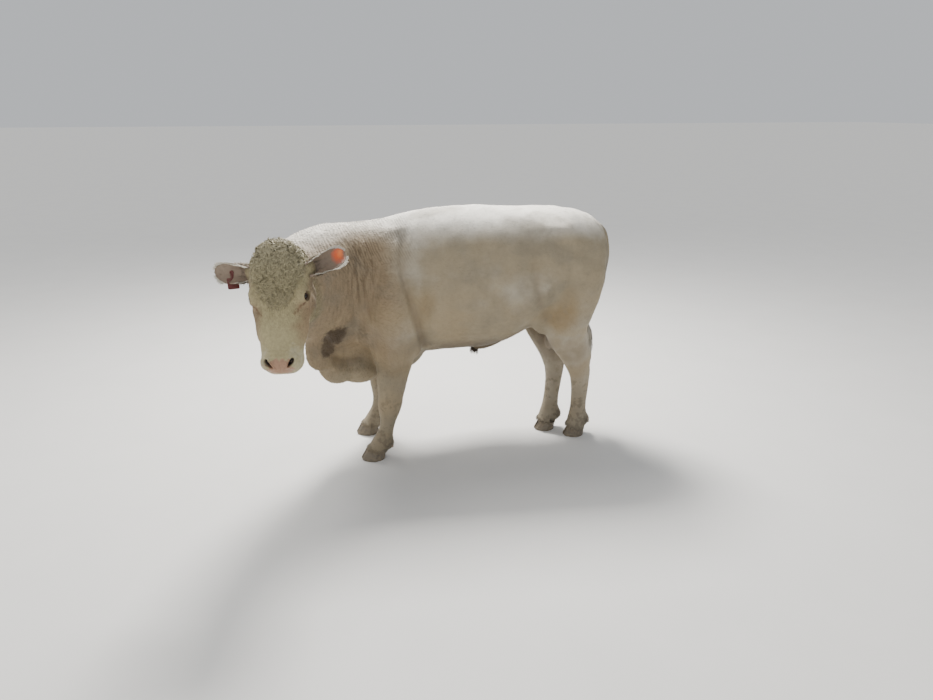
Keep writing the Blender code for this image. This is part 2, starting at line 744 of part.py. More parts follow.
def lock(path, width, thick, side, count=5):
    """A flat tapered lock of hair along a path; side is the direction across its width."""
    rings = []
    points = smooth_path(path, count)
    for i, point in enumerate(points):
        ahead = (points[min(i + 1, count - 1)] - points[max(i - 1, 0)]).normalized()
        across = (side - ahead * side.dot(ahead)).normalized()
        out = ahead.cross(across)
        share = i / (count - 1)
        fullness = (0.55 + 0.45 * sin(pi * min(share * 1.5, 1.0))) * (1 - share**3) + 0.08
        half, flat = width / 2 * fullness, thick / 2 * fullness
        rings.append([point + across * half, point + out * flat, point - across * half, point - out * flat])
    return loft("lock", rings)


def hair_switch(rng, top, bottom, spread, number, length, width):
    """Locks that hang round the end of the dock, longer towards the tip."""
    locks = []
    for i in range(number):
        share = i / (number - 1)
        angle = i * GOLDEN_ANGLE
        root = Vector(top).lerp(Vector(bottom), share)
        out = Vector((cos(angle), sin(angle), 0))
        reach = length * (0.75 + 0.35 * rng.random()) * (0.8 + 0.3 * share)
        sway = Vector((rng.uniform(-0.012, 0.012), rng.uniform(-0.012, 0.012), 0))
        path = [
            root - out * 0.004,
            root + out * spread * 0.7 + Vector((0, 0, -reach * 0.3)),
            root + out * spread + sway + Vector((0, 0, -reach * 0.65)),
            root + out * spread * 0.45 + sway * 2 + Vector((0, 0, -reach)),
        ]
        side = Vector((-out.y, out.x, 0))
        locks.append(lock(path, width * rng.uniform(0.8, 1.15), width * 0.42, side))
    return locks


def surface_tree(obj):
    bm = bmesh.new()
    bm.from_mesh(obj.data)
    tree = BVHTree.FromBMesh(bm)
    bm.free()
    return tree


def clump(point, normal, lie, width, length, rise):
    """A rounded curl of the woolly poll, lying over and hooked to one side at its tip."""
    bm = bmesh.new()
    bmesh.ops.create_uvsphere(bm, u_segments=5, v_segments=5, radius=1.0)
    across = normal.cross(lie).normalized()
    along = across.cross(normal)
    for vert in bm.verts:
        y, z, x = vert.co
        hook = 0.30 * x * x
        vert.co = (
            point
            + along * (x * length / 2 + 0.2 * length)
            + across * ((y * (1 - 0.25 * x) + hook) * width / 2)
            + normal * (z * rise + 0.5 * rise * (1 - (x - 0.3) ** 2) * (z > -0.2))
        )
    return object_of(bm, "clump")


def poll_clumps(head, rng):
    """Curls set close over the poll and forehead, narrowing between the eyes."""
    place = head_place()
    tree = surface_tree(head)
    middle = Vector(CURL_DOME_MIDDLE)
    clumps = []
    for i in range(CURL_DIRECTIONS):
        height = 1 - (i + 0.5) * 2 / CURL_DIRECTIONS
        ring = (1 - height * height) ** 0.5
        aim = Vector((ring * cos(i * GOLDEN_ANGLE), ring * sin(i * GOLDEN_ANGLE), height))
        start = place @ (middle + aim * 0.5)
        hit, normal, _, _ = tree.ray_cast(start, place.to_3x3() @ -aim)
        if hit is None:
            continue
        local = place.inverted() @ hit
        if not in_curl_patch(local):
            continue
        swing = rng.uniform(-0.7, 0.7)
        lie = place.to_3x3() @ Vector((0.9, 0.8 * local.y / 0.12 + swing, -0.2))
        width = CURL_WIDTH * rng.uniform(0.9, 1.12) * (1 - 0.3 * smooth_step((local.x - 0.12) / 0.14))
        width *= 1 if rng.random() < 0.5 else -1
        rise = CURL_RISE * rng.uniform(0.85, 1.2) * (1 - 0.5 * smooth_step((local.x - 0.02) / 0.22))
        clumps.append(clump(hit, normal, lie, width, CURL_LENGTH * rng.uniform(0.9, 1.1), rise))
    return clumps


def in_curl_patch(local):
    """Whether a place on the head, in the head's own frame, carries curls."""
    half = np.interp(local.x, (-0.06, 0.02, 0.12, 0.20, 0.27), (0.110, 0.125, 0.105, 0.065, 0.020))
    return local.x < 0.26 and abs(local.y) < half and local.z > -0.075


def eye_axis(side):
    return Vector((EYE_AIM[0], EYE_AIM[1] * side, EYE_AIM[2])).normalized()


def eye_place(side):
    return Vector((EYE_PLACE.x, EYE_PLACE.y * side, EYE_PLACE.z))


def eye_sphere(name, side, radius):
    """A sphere round the eye's middle, its pole along the line of sight."""
    bm = bmesh.new()
    bmesh.ops.create_uvsphere(bm, u_segments=12, v_segments=8, radius=radius)
    look = eye_axis(side).to_track_quat("Z", "X").to_matrix().to_4x4()
    place = head_place() @ Matrix.Translation(eye_place(side)) @ look
    bmesh.ops.transform(bm, matrix=place, verts=bm.verts)
    return object_of(bm, name)


def lid_opening(side):
    """Almond-shaped prism that opens the lids along the line of sight."""
    out = eye_axis(side)
    along = Vector((0.95, 0, -0.30))
    along = (along - out * along.dot(out)).normalized()
    up = out.cross(along) * (1 if side > 0 else -1)
    place = head_place()
    rings = []
    for depth, scale in ((0.004, 0.9), (0.016, 0.9), (0.050, 1.5)):
        ring = []
        for i in range(12):
            angle = 2 * pi * i / 12
            a = LID_LENGTH / 2 * cos(angle)
            b = LID_HEIGHT / 2 * sin(angle) * abs(sin(angle)) ** 0.4
            ring.append(place @ (eye_place(side) + out * depth + (along * a + up * b) * scale))
        rings.append(ring)
    return loft("cutter", rings)


def nostrils(head):
    """Comma-shaped openings that run from the outer side of the muzzle down to its pad."""
    place = head_place()
    tree = surface_tree(head)
    cutters = []
    for side in (1, -1):
        ends = []
        for x, y in (NOSTRIL_INNER, NOSTRIL_OUTER):
            start = place @ Vector((x, y * side, 0.2))
            ends.append(place.inverted() @ tree.ray_cast(start, place.to_3x3() @ Vector((0, 0, -1)))[0])
        along = ends[1] - ends[0]
        slot = place @ Matrix.Translation((ends[0] + ends[1]) / 2) @ along.to_track_quat("X", "Z").to_matrix().to_4x4()
        bm = bmesh.new()
        bmesh.ops.create_uvsphere(bm, u_segments=12, v_segments=8, radius=1.0)
        for vert in bm.verts:
            x, y, z = vert.co
            hooked = y * (1 + 0.5 * x) + side * 0.5 * (x * x - 0.4)
            vert.co = (x * NOSTRIL_LENGTH / 2, hooked * NOSTRIL_HALF_WIDTH, z * NOSTRIL_DEPTH * (1 + 0.3 * x))
        bmesh.ops.transform(bm, matrix=slot, verts=bm.verts)
        cutters.append(object_of(bm, "cutter"))
    return cutters


def mouth_line(head):
    """A thin wedge that follows the lips from corner to corner."""
    place = head_place()
    tree = surface_tree(head)
    spread = radians(MOUTH_SPREAD)
    rings = []
    for i in range(MOUTH_POINTS):
        angle = spread * (2 * i / (MOUTH_POINTS - 1) - 1)
        height = MOUTH_HEIGHT - 0.014 * (1 - cos(angle)) ** 1.5
        aim = Vector((cos(angle), sin(angle), 0))
        middle = Vector((MOUTH_MIDDLE, 0, height))
        hit, _, _, _ = tree.ray_cast(place @ (middle + aim * 0.3), place.to_3x3() @ -aim)
        edge = (place.inverted() @ hit - middle).length
        deep = middle + aim * (edge - MOUTH_DEPTH * max(0.15, cos(angle * 0.75)))
        outer = middle + aim * (edge + 0.008)
        rise = Vector((0, 0, MOUTH_WIDTH))
        rings.append([place @ deep, place @ (outer + rise), place @ (outer - rise)])
    return loft("cutter", rings)


def ear_point(side, u, v, lift=0.0):
    """A point of the ear's middle surface: u from root to tip, v across from -1 to 1."""
    half = float(np.interp(u, EAR_STEPS, EAR_HALF))
    curl = radians(float(np.interp(u, EAR_STEPS, EAR_CURL)))
    radius = half / curl
    ahead, normal = EAR_AIMS[side]
    ahead = Vector(ahead).normalized()
    normal = Vector(normal)
    normal = (normal - ahead * normal.dot(ahead)).normalized()
    across = normal.cross(ahead)
    bend = -0.16 * u * u * EAR_LENGTH
    centre = Vector((EAR_ROOT[0], EAR_ROOT[1] * side, EAR_ROOT[2])) + ahead * (u * EAR_LENGTH - EAR_SUNK)
    angle = v * curl
    rise = (radius - lift) * (1 - cos(angle)) + lift
    return centre + across * (radius - lift) * sin(angle) + normal * (rise + bend)


def ear(name, side):
    """A cupped ear: a curled open surface with its own thickness."""
    bm = bmesh.new()
    bmesh.ops.create_grid(bm, x_segments=8, y_segments=7, size=1.0)
    place = head_place()
    for vert in bm.verts:
        u, v = (vert.co.x + 1) / 2, vert.co.y
        vert.co = place @ ear_point(side, u, v)
    obj = object_of(bm, name)
    wall = obj.modifiers.new("wall", "SOLIDIFY")
    wall.thickness = EAR_THICK
    wall.offset = 0.0
    wall.use_even_offset = False
    apply_modifiers(obj)
    return obj


def sheath(torso, hair):
    """Prepuce under the belly, its mouth towards the navel, with the hair of its tip."""
    path = [(0.230, -0.015, 0.640), (0.130, -0.010, 0.602), (0.050, -0.005, 0.578), (-0.015, 0.0, 0.556)]
    piece = tube("sheath", path, (0.020, 0.034, 0.034, 0.019), 8, 1)
    combine(piece, "UNION", hair)
    combine(piece, "DIFFERENCE", [copy_of(torso, "grown", SKIN_GAP)])
    return piece


def scrotum(neighbours):
    lobes = [
        blob("lobe", (0.470, SCROTUM_MIDDLE - 0.024, 0.590), (0.040, 0.034, 0.066)),
        blob("lobe", (0.462, SCROTUM_MIDDLE + 0.024, 0.582), (0.040, 0.034, 0.068)),
        blob("lobe", (0.462, SCROTUM_MIDDLE, 0.690), (0.030, 0.028, 0.080)),
    ]
    piece = fused("scrotum", lobes, 0.006, 4, 220)
    combine(piece, "DIFFERENCE", [copy_of(other, "grown", SKIN_GAP) for other in neighbours])
    return piece


def tag_parts(ear_piece):
    """Ear tag: a panel with its neck and boss in front of the ear, and a button with a pin behind it."""
    place = head_place()
    at = place @ ear_point(-1, TAG_AT, 0.0)
    front = (place @ ear_point(-1, TAG_AT, 0.0, 0.01) - at).normalized()
    stand = front.to_track_quat("Z", "Y").to_matrix().to_4x4()
    pin_place = Matrix.Translation(at) @ stand
    half_wall = EAR_THICK / 2
    boss = disc("tag_front", TAG_BOSS, 0.005, pin_place, half_wall + SKIN_GAP)
    button = disc("tag_back", TAG_BOSS, 0.003, pin_place, -half_wall - SKIN_GAP - 0.003)
    pin = disc("pin", TAG_PIN, EAR_THICK + 0.0022, pin_place, -half_wall - 0.0015)
    combine(button, "UNION", [pin])
    hole = disc("cutter", TAG_PIN + 3 * SKIN_GAP, 0.05, pin_place, -0.025)
    combine(ear_piece, "DIFFERENCE", [hole])
    panel = tag_panel(at + front * (half_wall + 0.004))
    combine(boss, "UNION", [panel])
    for piece in (boss, button):
        combine(piece, "DIFFERENCE", [copy_of(ear_piece, "grown", 2 * SKIN_GAP)])
    combine(boss, "DIFFERENCE", [copy_of(button, "grown", 2 * SKIN_GAP)])
    return boss, button


def disc(name, radius, depth, place, base):
    """A short cylinder whose lower face is at base along the place's z."""
    bm = bmesh.new()
    bmesh.ops.create_cone(bm, cap_ends=True, segments=12, radius1=radius, radius2=radius, depth=depth)
    bmesh.ops.transform(bm, matrix=place @ Matrix.Translation((0, 0, base + depth / 2)), verts=bm.verts)
    return object_of(bm, name)


def tag_panel(top):
    """Hanging panel of the tag with rounded corners and a narrower neck."""
    bm = bmesh.new()
    bmesh.ops.create_cube(bm, size=1.0)
    bmesh.ops.transform(bm, matrix=Matrix.Diagonal((TAG_WIDTH, TAG_THICK, TAG_HEIGHT, 1.0)), verts=bm.verts)
    upright = [edge for edge in bm.edges if abs(edge.verts[0].co.y - edge.verts[1].co.y) > TAG_THICK / 2]
    bmesh.ops.bevel(bm, geom=upright, offset=0.006, segments=2, profile=0.5, affect="EDGES", material=-1)
    bmesh.ops.translate(bm, verts=bm.verts, vec=(0, 0, -TAG_NECK - TAG_HEIGHT / 2))
    panel = object_of(bm, "panel")
    neck = box("neck", (-0.008, -TAG_THICK / 2, -TAG_NECK - 0.004), (0.008, TAG_THICK / 2, 0.004))
    combine(panel, "UNION", [neck])
    place = Matrix.Translation(top) @ turned(TAG_TURN)
    panel.data.transform(place)
    return panel


def finish(obj, colour, roughness):
    """Gives a node its own material, smooth shading and its place in the bull's collection."""
    material = bpy.data.materials.new(obj.name)
    material.use_nodes = True
    shader = material.node_tree.nodes["Principled BSDF"]
    shader.inputs["Base Color"].default_value = (*colour, 1.0)
    shader.inputs["Roughness"].default_value = roughness
    shader.inputs["Metallic"].default_value = 0.0
    obj.data.materials.clear()
    obj.data.materials.append(material)
    obj.data.shade_smooth()
    obj.data.set_sharp_from_angle(angle=radians(48))
    for holder in list(obj.users_collection):
        holder.objects.unlink(obj)
    collection_named(NAME).objects.link(obj)


def stand_on_origin(nodes):
    """Parents the nodes to one empty that puts the middle of the box's floor at the origin."""
    corners = np.concatenate([np.array([vert.co[:] for vert in node.data.vertices]) for node in nodes])
    low, high = corners.min(axis=0), corners.max(axis=0)
    holder = bpy.data.objects.new(NAME, None)
    collection_named(NAME).objects.link(holder)
    holder.location = (-(low[0] + high[0]) / 2, -(low[1] + high[1]) / 2, -low[2])
    for node in nodes:
        node.parent = holder


def main():
    clear_scene()
    rng = random.Random(SEED)
    body = fused("torso", body_forms() + head_forms(), BODY_VOXEL, 12, BODY_TRIANGLES)
    pieces = part_body(body)
    head = fused("head", head_forms() + [neck()], HEAD_VOXEL, 5, HEAD_TRIANGLES)
    combine(head, "INTERSECT", [head_cutter(0.004)])
    pieces["head"] = head
    combine(head, "UNION", [eye_sphere("lid", side, EYE_RADIUS + LID_THICK) for side in (1, -1)])
    cutters = [mouth_line(head)] + nostrils(head)
    for name, side in (("eye_left", 1), ("eye_right", -1)):
        cutters += [lid_opening(side), eye_sphere("cutter", side, EYE_RADIUS + SKIN_GAP)]
        pieces[name] = eye_sphere(name, side, EYE_RADIUS)
    for cutter in cutters:
        combine(head, "DIFFERENCE", [cutter], "MANIFOLD")
    combine(head, "UNION", poll_clumps(head, rng))
    combine(head, "INTERSECT", [head_cutter(0.0)], "MANIFOLD")
    drop_slivers(head)
    for name, side in (("ear_left", 1), ("ear_right", -1)):
        pieces[name] = ear(name, side)
        combine(pieces[name], "DIFFERENCE", [copy_of(head, "grown", 2 * SKIN_GAP)], "MANIFOLD")
    tail = tube("tail", TAIL_PATH, TAIL_RADII, 20, 2)
    upper = part_off(tail, "tail_dock", box_cutter((0.5, -0.3, TAIL_SPLIT), (1.0, 0.2, 1.5)))
    combine(body, "DIFFERENCE", [copy_of(upper, "grown", SKIN_GAP)])
    tail.name = "tail_switch"
    switch = hair_switch(rng, SWITCH_TOP, SWITCH_BOTTOM, 0.020, SWITCH_LOCKS, 0.165, 0.030)
    combine(tail, "UNION", switch, "MANIFOLD")
    pieces["tail_dock"], pieces["tail_switch"] = upper, tail
    tip = Vector(SHEATH_TIP)
    tuft = hair_switch(rng, tip, tip + Vector((0.016, 0, 0.004)), 0.012, SHEATH_LOCKS, 0.050, 0.016)
    pieces["sheath"] = sheath(body, tuft)
    pieces["scrotum"] = scrotum([body, pieces["hind_left_upper"], pieces["hind_right_upper"]])
    for name, foot, size in feet():
        lower = pieces[name + "_lower"]
        combine(lower, "DIFFERENCE", [crown_cutter(foot)])
        for label, side in (("outer", -1 if "left" in name else 1), ("inner", 1 if "left" in name else -1)):
            pieces["claw_" + name + "_" + label] = claw("claw_" + name + "_" + label, foot, size, side)
        hind = "hind" in name
        knob_at = HIND_KNOB if hind else FORE_KNOB
        if "right" in name:
            knob_at = right_leg_point(*knob_at, hind)
        for label, side in (("a", -1), ("b", 1)):
            knob = "dewclaw_" + name + "_" + label
            pieces[knob] = dewclaw(knob, knob_at, side, lower)
    pieces["tag_front"], pieces["tag_back"] = tag_parts(pieces["ear_right"])
    for name, piece in pieces.items():
        piece.name = name
        colour, roughness = CREAM, 0.85
        for start, shade, sheen in FINISHES:
            if name.startswith(start):
                colour, roughness = shade, sheen
        finish(piece, colour, roughness)
    stand_on_origin(list(pieces.values()))


main()
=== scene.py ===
"""Auliekol bull in life size: skin, coat, eyes, ears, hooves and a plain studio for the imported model.

Metres, +Z up. The forms are worked out in the bull's own frame, where it faces -X, its left side
is -Y and its feet are on the floor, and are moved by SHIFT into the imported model's frame.
"""

import json
from math import cos, pi, radians, sin

import bmesh
import bpy
import numpy as np
from mathutils import Matrix, Vector
from mathutils.bvhtree import BVHTree

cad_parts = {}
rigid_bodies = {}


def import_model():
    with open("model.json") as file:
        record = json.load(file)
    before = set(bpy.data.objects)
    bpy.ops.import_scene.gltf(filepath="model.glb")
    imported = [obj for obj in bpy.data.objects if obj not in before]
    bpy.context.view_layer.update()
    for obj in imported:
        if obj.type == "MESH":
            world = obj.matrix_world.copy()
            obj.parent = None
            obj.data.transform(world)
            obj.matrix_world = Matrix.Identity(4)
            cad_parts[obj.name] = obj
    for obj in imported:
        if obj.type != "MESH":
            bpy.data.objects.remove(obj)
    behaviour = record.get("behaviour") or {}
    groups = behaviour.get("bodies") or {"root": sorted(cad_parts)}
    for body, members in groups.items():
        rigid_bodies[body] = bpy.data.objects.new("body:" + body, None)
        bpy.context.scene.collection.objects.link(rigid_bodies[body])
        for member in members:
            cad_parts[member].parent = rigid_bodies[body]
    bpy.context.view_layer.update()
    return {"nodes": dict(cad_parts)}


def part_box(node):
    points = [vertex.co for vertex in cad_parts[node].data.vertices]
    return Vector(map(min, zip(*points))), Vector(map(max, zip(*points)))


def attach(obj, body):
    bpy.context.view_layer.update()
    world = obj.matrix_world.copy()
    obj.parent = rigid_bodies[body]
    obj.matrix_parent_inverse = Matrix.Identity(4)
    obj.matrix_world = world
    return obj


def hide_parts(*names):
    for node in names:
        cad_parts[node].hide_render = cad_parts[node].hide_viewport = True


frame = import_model()

SEED = 11

# Skin: fineness of the fused flesh, and how far it lies inside the solids under the coat
SKIN_VOXEL = 0.0070
SKIN_ROUNDS = 32
SKIN_TRIANGLES = 186000
COAT_DEPTH = 0.0035
SKIN_WAVES = 0.0016
LEG_SWELL = 0.0065
KNOB_HEIGHT = 0.012
HOOF_BAND = 0.004

# Where the hindquarters swing towards the left side, to match the turned neck
REAR_SWING = -0.07
REAR_LENGTH = 0.80

# Sections of the trunk: x, top, bottom, half width, height of the widest place, power above and below it
TRUNK = [
    (-0.62, 1.312, 0.640, 0.205, 0.45, 1.9, 2.0),
    (-0.50, 1.348, 0.590, 0.258, 0.44, 1.8, 2.0),
    (-0.38, 1.374, 0.575, 0.280, 0.43, 1.8, 2.1),
    (-0.26, 1.389, 0.578, 0.292, 0.43, 1.9, 2.1),
    (-0.12, 1.394, 0.578, 0.307, 0.43, 2.1, 2.1),
    (0.02, 1.392, 0.578, 0.320, 0.43, 2.3, 2.1),
    (0.14, 1.385, 0.600, 0.326, 0.44, 2.4, 2.1),
    (0.26, 1.377, 0.662, 0.322, 0.45, 2.6, 2.1),
    (0.37, 1.376, 0.736, 0.304, 0.48, 2.8, 2.1),
    (0.47, 1.374, 0.752, 0.284, 0.52, 2.8, 2.1),
    (0.57, 1.360, 0.765, 0.256, 0.54, 2.5, 2.0),
    (0.655, 1.330, 0.800, 0.218, 0.54, 2.3, 2.0),
    (0.715, 1.285, 0.860, 0.168, 0.54, 2.1, 2.0),
    (0.752, 1.200, 0.960, 0.105, 0.50, 2.0, 2.0),
]
# Sections of the neck: x, y, z, reach up and down, half width
NECK = [
    (-0.40, 0.000, 1.020, 0.330, 0.400, 0.200),
    (-0.56, -0.005, 1.030, 0.308, 0.430, 0.220),
    (-0.70, -0.040, 1.045, 0.288, 0.455, 0.215),
    (-0.82, -0.120, 1.070, 0.275, 0.440, 0.190),
    (-0.92, -0.230, 1.095, 0.248, 0.375, 0.168),
    (-1.00, -0.350, 1.125, 0.200, 0.290, 0.150),
    (-1.06, -0.470, 1.150, 0.150, 0.225, 0.135),
    (-1.09, -0.560, 1.170, 0.105, 0.175, 0.118),
]
# Sections of the left legs: height, x, y, half length, half width
FORE_LEG = [
    (0.800, -0.520, -0.200, 0.160, 0.090),
    (0.700, -0.515, -0.200, 0.145, 0.085),
    (0.620, -0.520, -0.196, 0.122, 0.078),
    (0.540, -0.526, -0.190, 0.104, 0.068),
    (0.450, -0.534, -0.186, 0.082, 0.058),
    (0.380, -0.544, -0.183, 0.069, 0.052),
    (0.330, -0.548, -0.181, 0.067, 0.054),
    (0.285, -0.553, -0.179, 0.058, 0.048),
    (0.235, -0.562, -0.177, 0.043, 0.038),
    (0.180, -0.575, -0.176, 0.041, 0.036),
    (0.135, -0.592, -0.176, 0.050, 0.044),
    (0.105, -0.606, -0.176, 0.057, 0.050),
    (0.078, -0.625, -0.176, 0.055, 0.050),
    (0.045, -0.645, -0.176, 0.056, 0.051),
]
HIND_LEG = [
    (1.160, 0.545, -0.185, 0.160, 0.105),
    (1.060, 0.545, -0.200, 0.178, 0.122),
    (0.960, 0.530, -0.210, 0.180, 0.124),
    (0.860, 0.503, -0.218, 0.175, 0.118),
    (0.770, 0.489, -0.218, 0.159, 0.104),
    (0.690, 0.484, -0.214, 0.139, 0.088),
    (0.620, 0.500, -0.209, 0.125, 0.074),
    (0.560, 0.528, -0.205, 0.113, 0.062),
    (0.505, 0.558, -0.201, 0.100, 0.054),
    (0.450, 0.580, -0.199, 0.078, 0.047),
    (0.390, 0.598, -0.198, 0.062, 0.041),
    (0.320, 0.601, -0.198, 0.052, 0.038),
    (0.220, 0.597, -0.199, 0.046, 0.036),
    (0.160, 0.594, -0.200, 0.049, 0.042),
    (0.118, 0.592, -0.202, 0.057, 0.049),
    (0.082, 0.582, -0.205, 0.054, 0.049),
    (0.040, 0.568, -0.207, 0.055, 0.051),
]
# Bones under the skin of a leg: middle, radii, whether it is a hind leg
JOINT_FORMS = [
    ((0.645, -0.200, 0.515), (0.026, 0.026, 0.048), True),
    ((0.634, -0.202, 0.590), (0.016, 0.018, 0.080), True),
    ((-0.556, -0.181, 0.335), (0.062, 0.056, 0.050), False),
    ((0.630, -0.202, 0.112), (0.026, 0.040, 0.026), True),
    ((-0.572, -0.176, 0.100), (0.026, 0.040, 0.026), False),
]
# Muscles of both sides and of the middle: centre, radii, turn in degrees
SIDE_FORMS = [
    ((-0.500, -0.168, 0.990), (0.175, 0.112, 0.300), (-13, 14, 0)),
    ((-0.630, -0.155, 0.830), (0.120, 0.098, 0.160), (0, 10, 0)),
    ((-0.490, -0.190, 0.780), (0.140, 0.090, 0.190), (0, -14, 0)),
    ((-0.405, -0.190, 0.670), (0.050, 0.055, 0.075), (0, 0, 0)),
    ((0.410, -0.215, 1.235), (0.110, 0.060, 0.070), (25, 0, 0)),
    ((0.580, -0.175, 1.080), (0.140, 0.105, 0.150), (0, 0, 0)),
    ((0.690, -0.120, 1.090), (0.060, 0.066, 0.090), (0, 0, 0)),
    ((0.620, -0.165, 0.910), (0.085, 0.100, 0.170), (0, 14, 0)),
    ((0.375, -0.215, 0.800), (0.110, 0.058, 0.140), (0, 30, 0)),
    ((0.300, -0.200, 0.830), (0.130, 0.050, 0.100), (0, 35, 0)),
]
MIDDLE_FORMS = [
    ((-0.680, -0.030, 0.620), (0.190, 0.125, 0.195), (0, 20, 8)),
    ((-0.520, -0.010, 0.600), (0.220, 0.115, 0.140), (0, 0, 0)),
    ((-0.780, -0.085, 0.635), (0.165, 0.072, 0.190), (0, 35, 25)),
    ((-0.885, -0.185, 0.725), (0.150, 0.052, 0.160), (0, 50, 45)),
    ((-0.330, 0.000, 1.300), (0.240, 0.090, 0.080), (0, -8, 0)),
    ((0.715, -0.064, 1.235), (0.060, 0.052, 0.045), (0, 35, 0)),
]
# Sections of the head in its own frame: x, top, bottom, half width, height of the widest place
HEAD = [
    (-0.030, -0.035, -0.200, 0.085, 0.55),
    (0.000, -0.006, -0.240, 0.112, 0.60),
    (0.050, 0.008, -0.270, 0.130, 0.62),
    (0.110, 0.012, -0.280, 0.131, 0.64),
    (0.170, 0.008, -0.275, 0.119, 0.66),
    (0.240, -0.002, -0.252, 0.111, 0.62),
    (0.310, -0.010, -0.215, 0.101, 0.56),
    (0.380, -0.014, -0.185, 0.090, 0.52),
    (0.440, -0.018, -0.165, 0.083, 0.50),
    (0.480, -0.028, -0.152, 0.082, 0.48),
    (0.507, -0.046, -0.138, 0.073, 0.48),
    (0.522, -0.068, -0.118, 0.052, 0.50),
]
# Bones and muscles of the head: centre, radii
HEAD_SIDE_FORMS = [
    ((0.188, 0.086, -0.044), (0.056, 0.034, 0.042)),
    ((0.180, 0.080, -0.170), (0.115, 0.048, 0.090)),
    ((0.300, 0.070, -0.110), (0.110, 0.036, 0.052)),
    ((0.290, 0.088, -0.078), (0.090, 0.016, 0.014)),
    ((0.066, 0.110, -0.092), (0.046, 0.040, 0.050)),
    ((0.478, 0.050, -0.054), (0.038, 0.036, 0.034)),
    ((0.462, 0.062, -0.094), (0.048, 0.028, 0.030)),
]
HEAD_MIDDLE_FORMS = [
    ((0.005, 0.000, -0.014), (0.045, 0.085, 0.038)),
    ((0.486, 0.000, -0.082), (0.040, 0.070, 0.032)),
    ((0.450, 0.000, -0.142), (0.056, 0.058, 0.030)),
    ((0.105, 0.000, -0.024), (0.160, 0.112, 0.043)),
]
TAIL_PATH = [
    (0.690, -0.062, 1.245),
    (0.745, -0.063, 1.228),
    (0.776, -0.064, 1.160),
    (0.787, -0.064, 1.080),
    (0.780, -0.064, 0.990),
    (0.758, -0.064, 0.900),
    (0.716, -0.066, 0.770),
    (0.686, -0.070, 0.655),
    (0.690, -0.074, 0.580),
]
TAIL_RADII = (0.030, 0.031, 0.027, 0.023, 0.021, 0.019, 0.017, 0.015, 0.011)
# An ear from root to tip: steps, half width round the curve, and half of the curve's angle
EAR_STEPS = (0.0, 0.2, 0.4, 0.65, 0.85, 0.95, 1.0)
EAR_HALF = (0.066, 0.068, 0.061, 0.055, 0.039, 0.022, 0.007)
EAR_CURL = (128, 108, 84, 60, 46, 40, 36)
# Left (1) and right (-1) ear: direction to the tip, and out of the cup
EAR_AIMS = {
    1: ((-0.47, 0.79, -0.39), (0.25, 0.20, 0.85)),
    -1: ((-0.10, -0.97, -0.22), (0.38, -0.26, 0.87)),
}
# How the right legs stand against the mirrored left ones: shift at the floor and at the hip, along x and y
FORE_RIGHT_FOOT = (0.020, -0.006)
HIND_RIGHT_FOOT = (-0.138, -0.285)
HIND_RIGHT_HIP_SHIFT = (-0.015, -0.110)
HIP_HEIGHT = 0.86

# Head: place of the poll bone, direction of the face, roll towards the right ear, and its cut from the neck
POLL = Vector((-1.100, -0.662, 1.318))
FACE_PITCH = 61.0
FACE_YAW = 9.0
FACE_ROLL = 6.0
HEAD_CUT_AT = Vector((-0.030, 0.0, -0.030))
HEAD_CUT_OUT = (0.832, 0, 0.555)
HEAD_CUT_DOWN = (0.555, 0, -0.832)

# Eyes, nostrils and mouth, in the head's frame
EYE_RADIUS = 0.0195
EYE_PLACE = Vector((0.196, 0.1010, -0.044))
EYE_AIM = (0.10, 0.88, 0.45)
EYE_LINE = (0.80, 0, 0.50)
EYE_SWELL = 0.03
LID_THICK = 0.0036
LID_HALF_LENGTH = 0.45 * 0.040
LID_HALF_HEIGHT = 0.45 * 0.029
# Grooves and swells round the lids: how far out, how wide, height above and below the eye
LID_RINGS = ((4.2, 0.9, -0.0020, -0.0012), (2.0, 0.8, 0.0016, 0.0006), (7.5, 1.3, -0.0009, -0.0009))
LID_RIM_WIDTH, LID_RIM_HEIGHT = 0.0016, 0.0021
NOSTRIL_INNER = (0.503, 0.036)
NOSTRIL_OUTER = (0.476, 0.058)
NOSTRIL_LENGTH = 0.054
NOSTRIL_HALF_WIDTH = 0.0100
NOSTRIL_DEPTH = 0.024
NOSTRIL_WING = 0.0026
LIP_DEPTH, LIP_SWELL = -0.0065, 0.0020
MOUTH_MIDDLE = 0.425
MOUTH_HEIGHT = -0.113
MOUTH_SPREAD = 118

# Ears, in the head's frame
EAR_ROOT = (0.066, 0.128, -0.082)
EAR_LENGTH = 0.232
EAR_SUNK = 0.030
EAR_THICK = 0.0075
EAR_BEND = -0.16
EAR_RIDGES = 0.0016

# Feet: middle of each left foot, its dewclaws, and the slanted rim of the hooves
FORE_FOOT = (-0.655, -0.176)
HIND_FOOT = (0.566, -0.207)
FORE_KNOB = (-0.555, -0.176, 0.090)
HIND_KNOB = (0.648, -0.203, 0.102)
CROWN_BACK = 0.016
CROWN_MIDDLE = 0.062
CROWN_SLOPE = 0.26

# Combed rows of hair on the crest and shoulder: the direction across them and their spacing
COMB_AIM = (0.90, 0.0, 0.42)
COMB_STEP = 0.0135

SCROTUM_MIDDLE = -0.074
SHEATH_PATH = [(0.230, -0.015, 0.640), (0.130, -0.010, 0.602), (0.050, -0.005, 0.578), (-0.012, 0.0, 0.557)]
SHEATH_RADII = (0.020, 0.034, 0.034, 0.019)

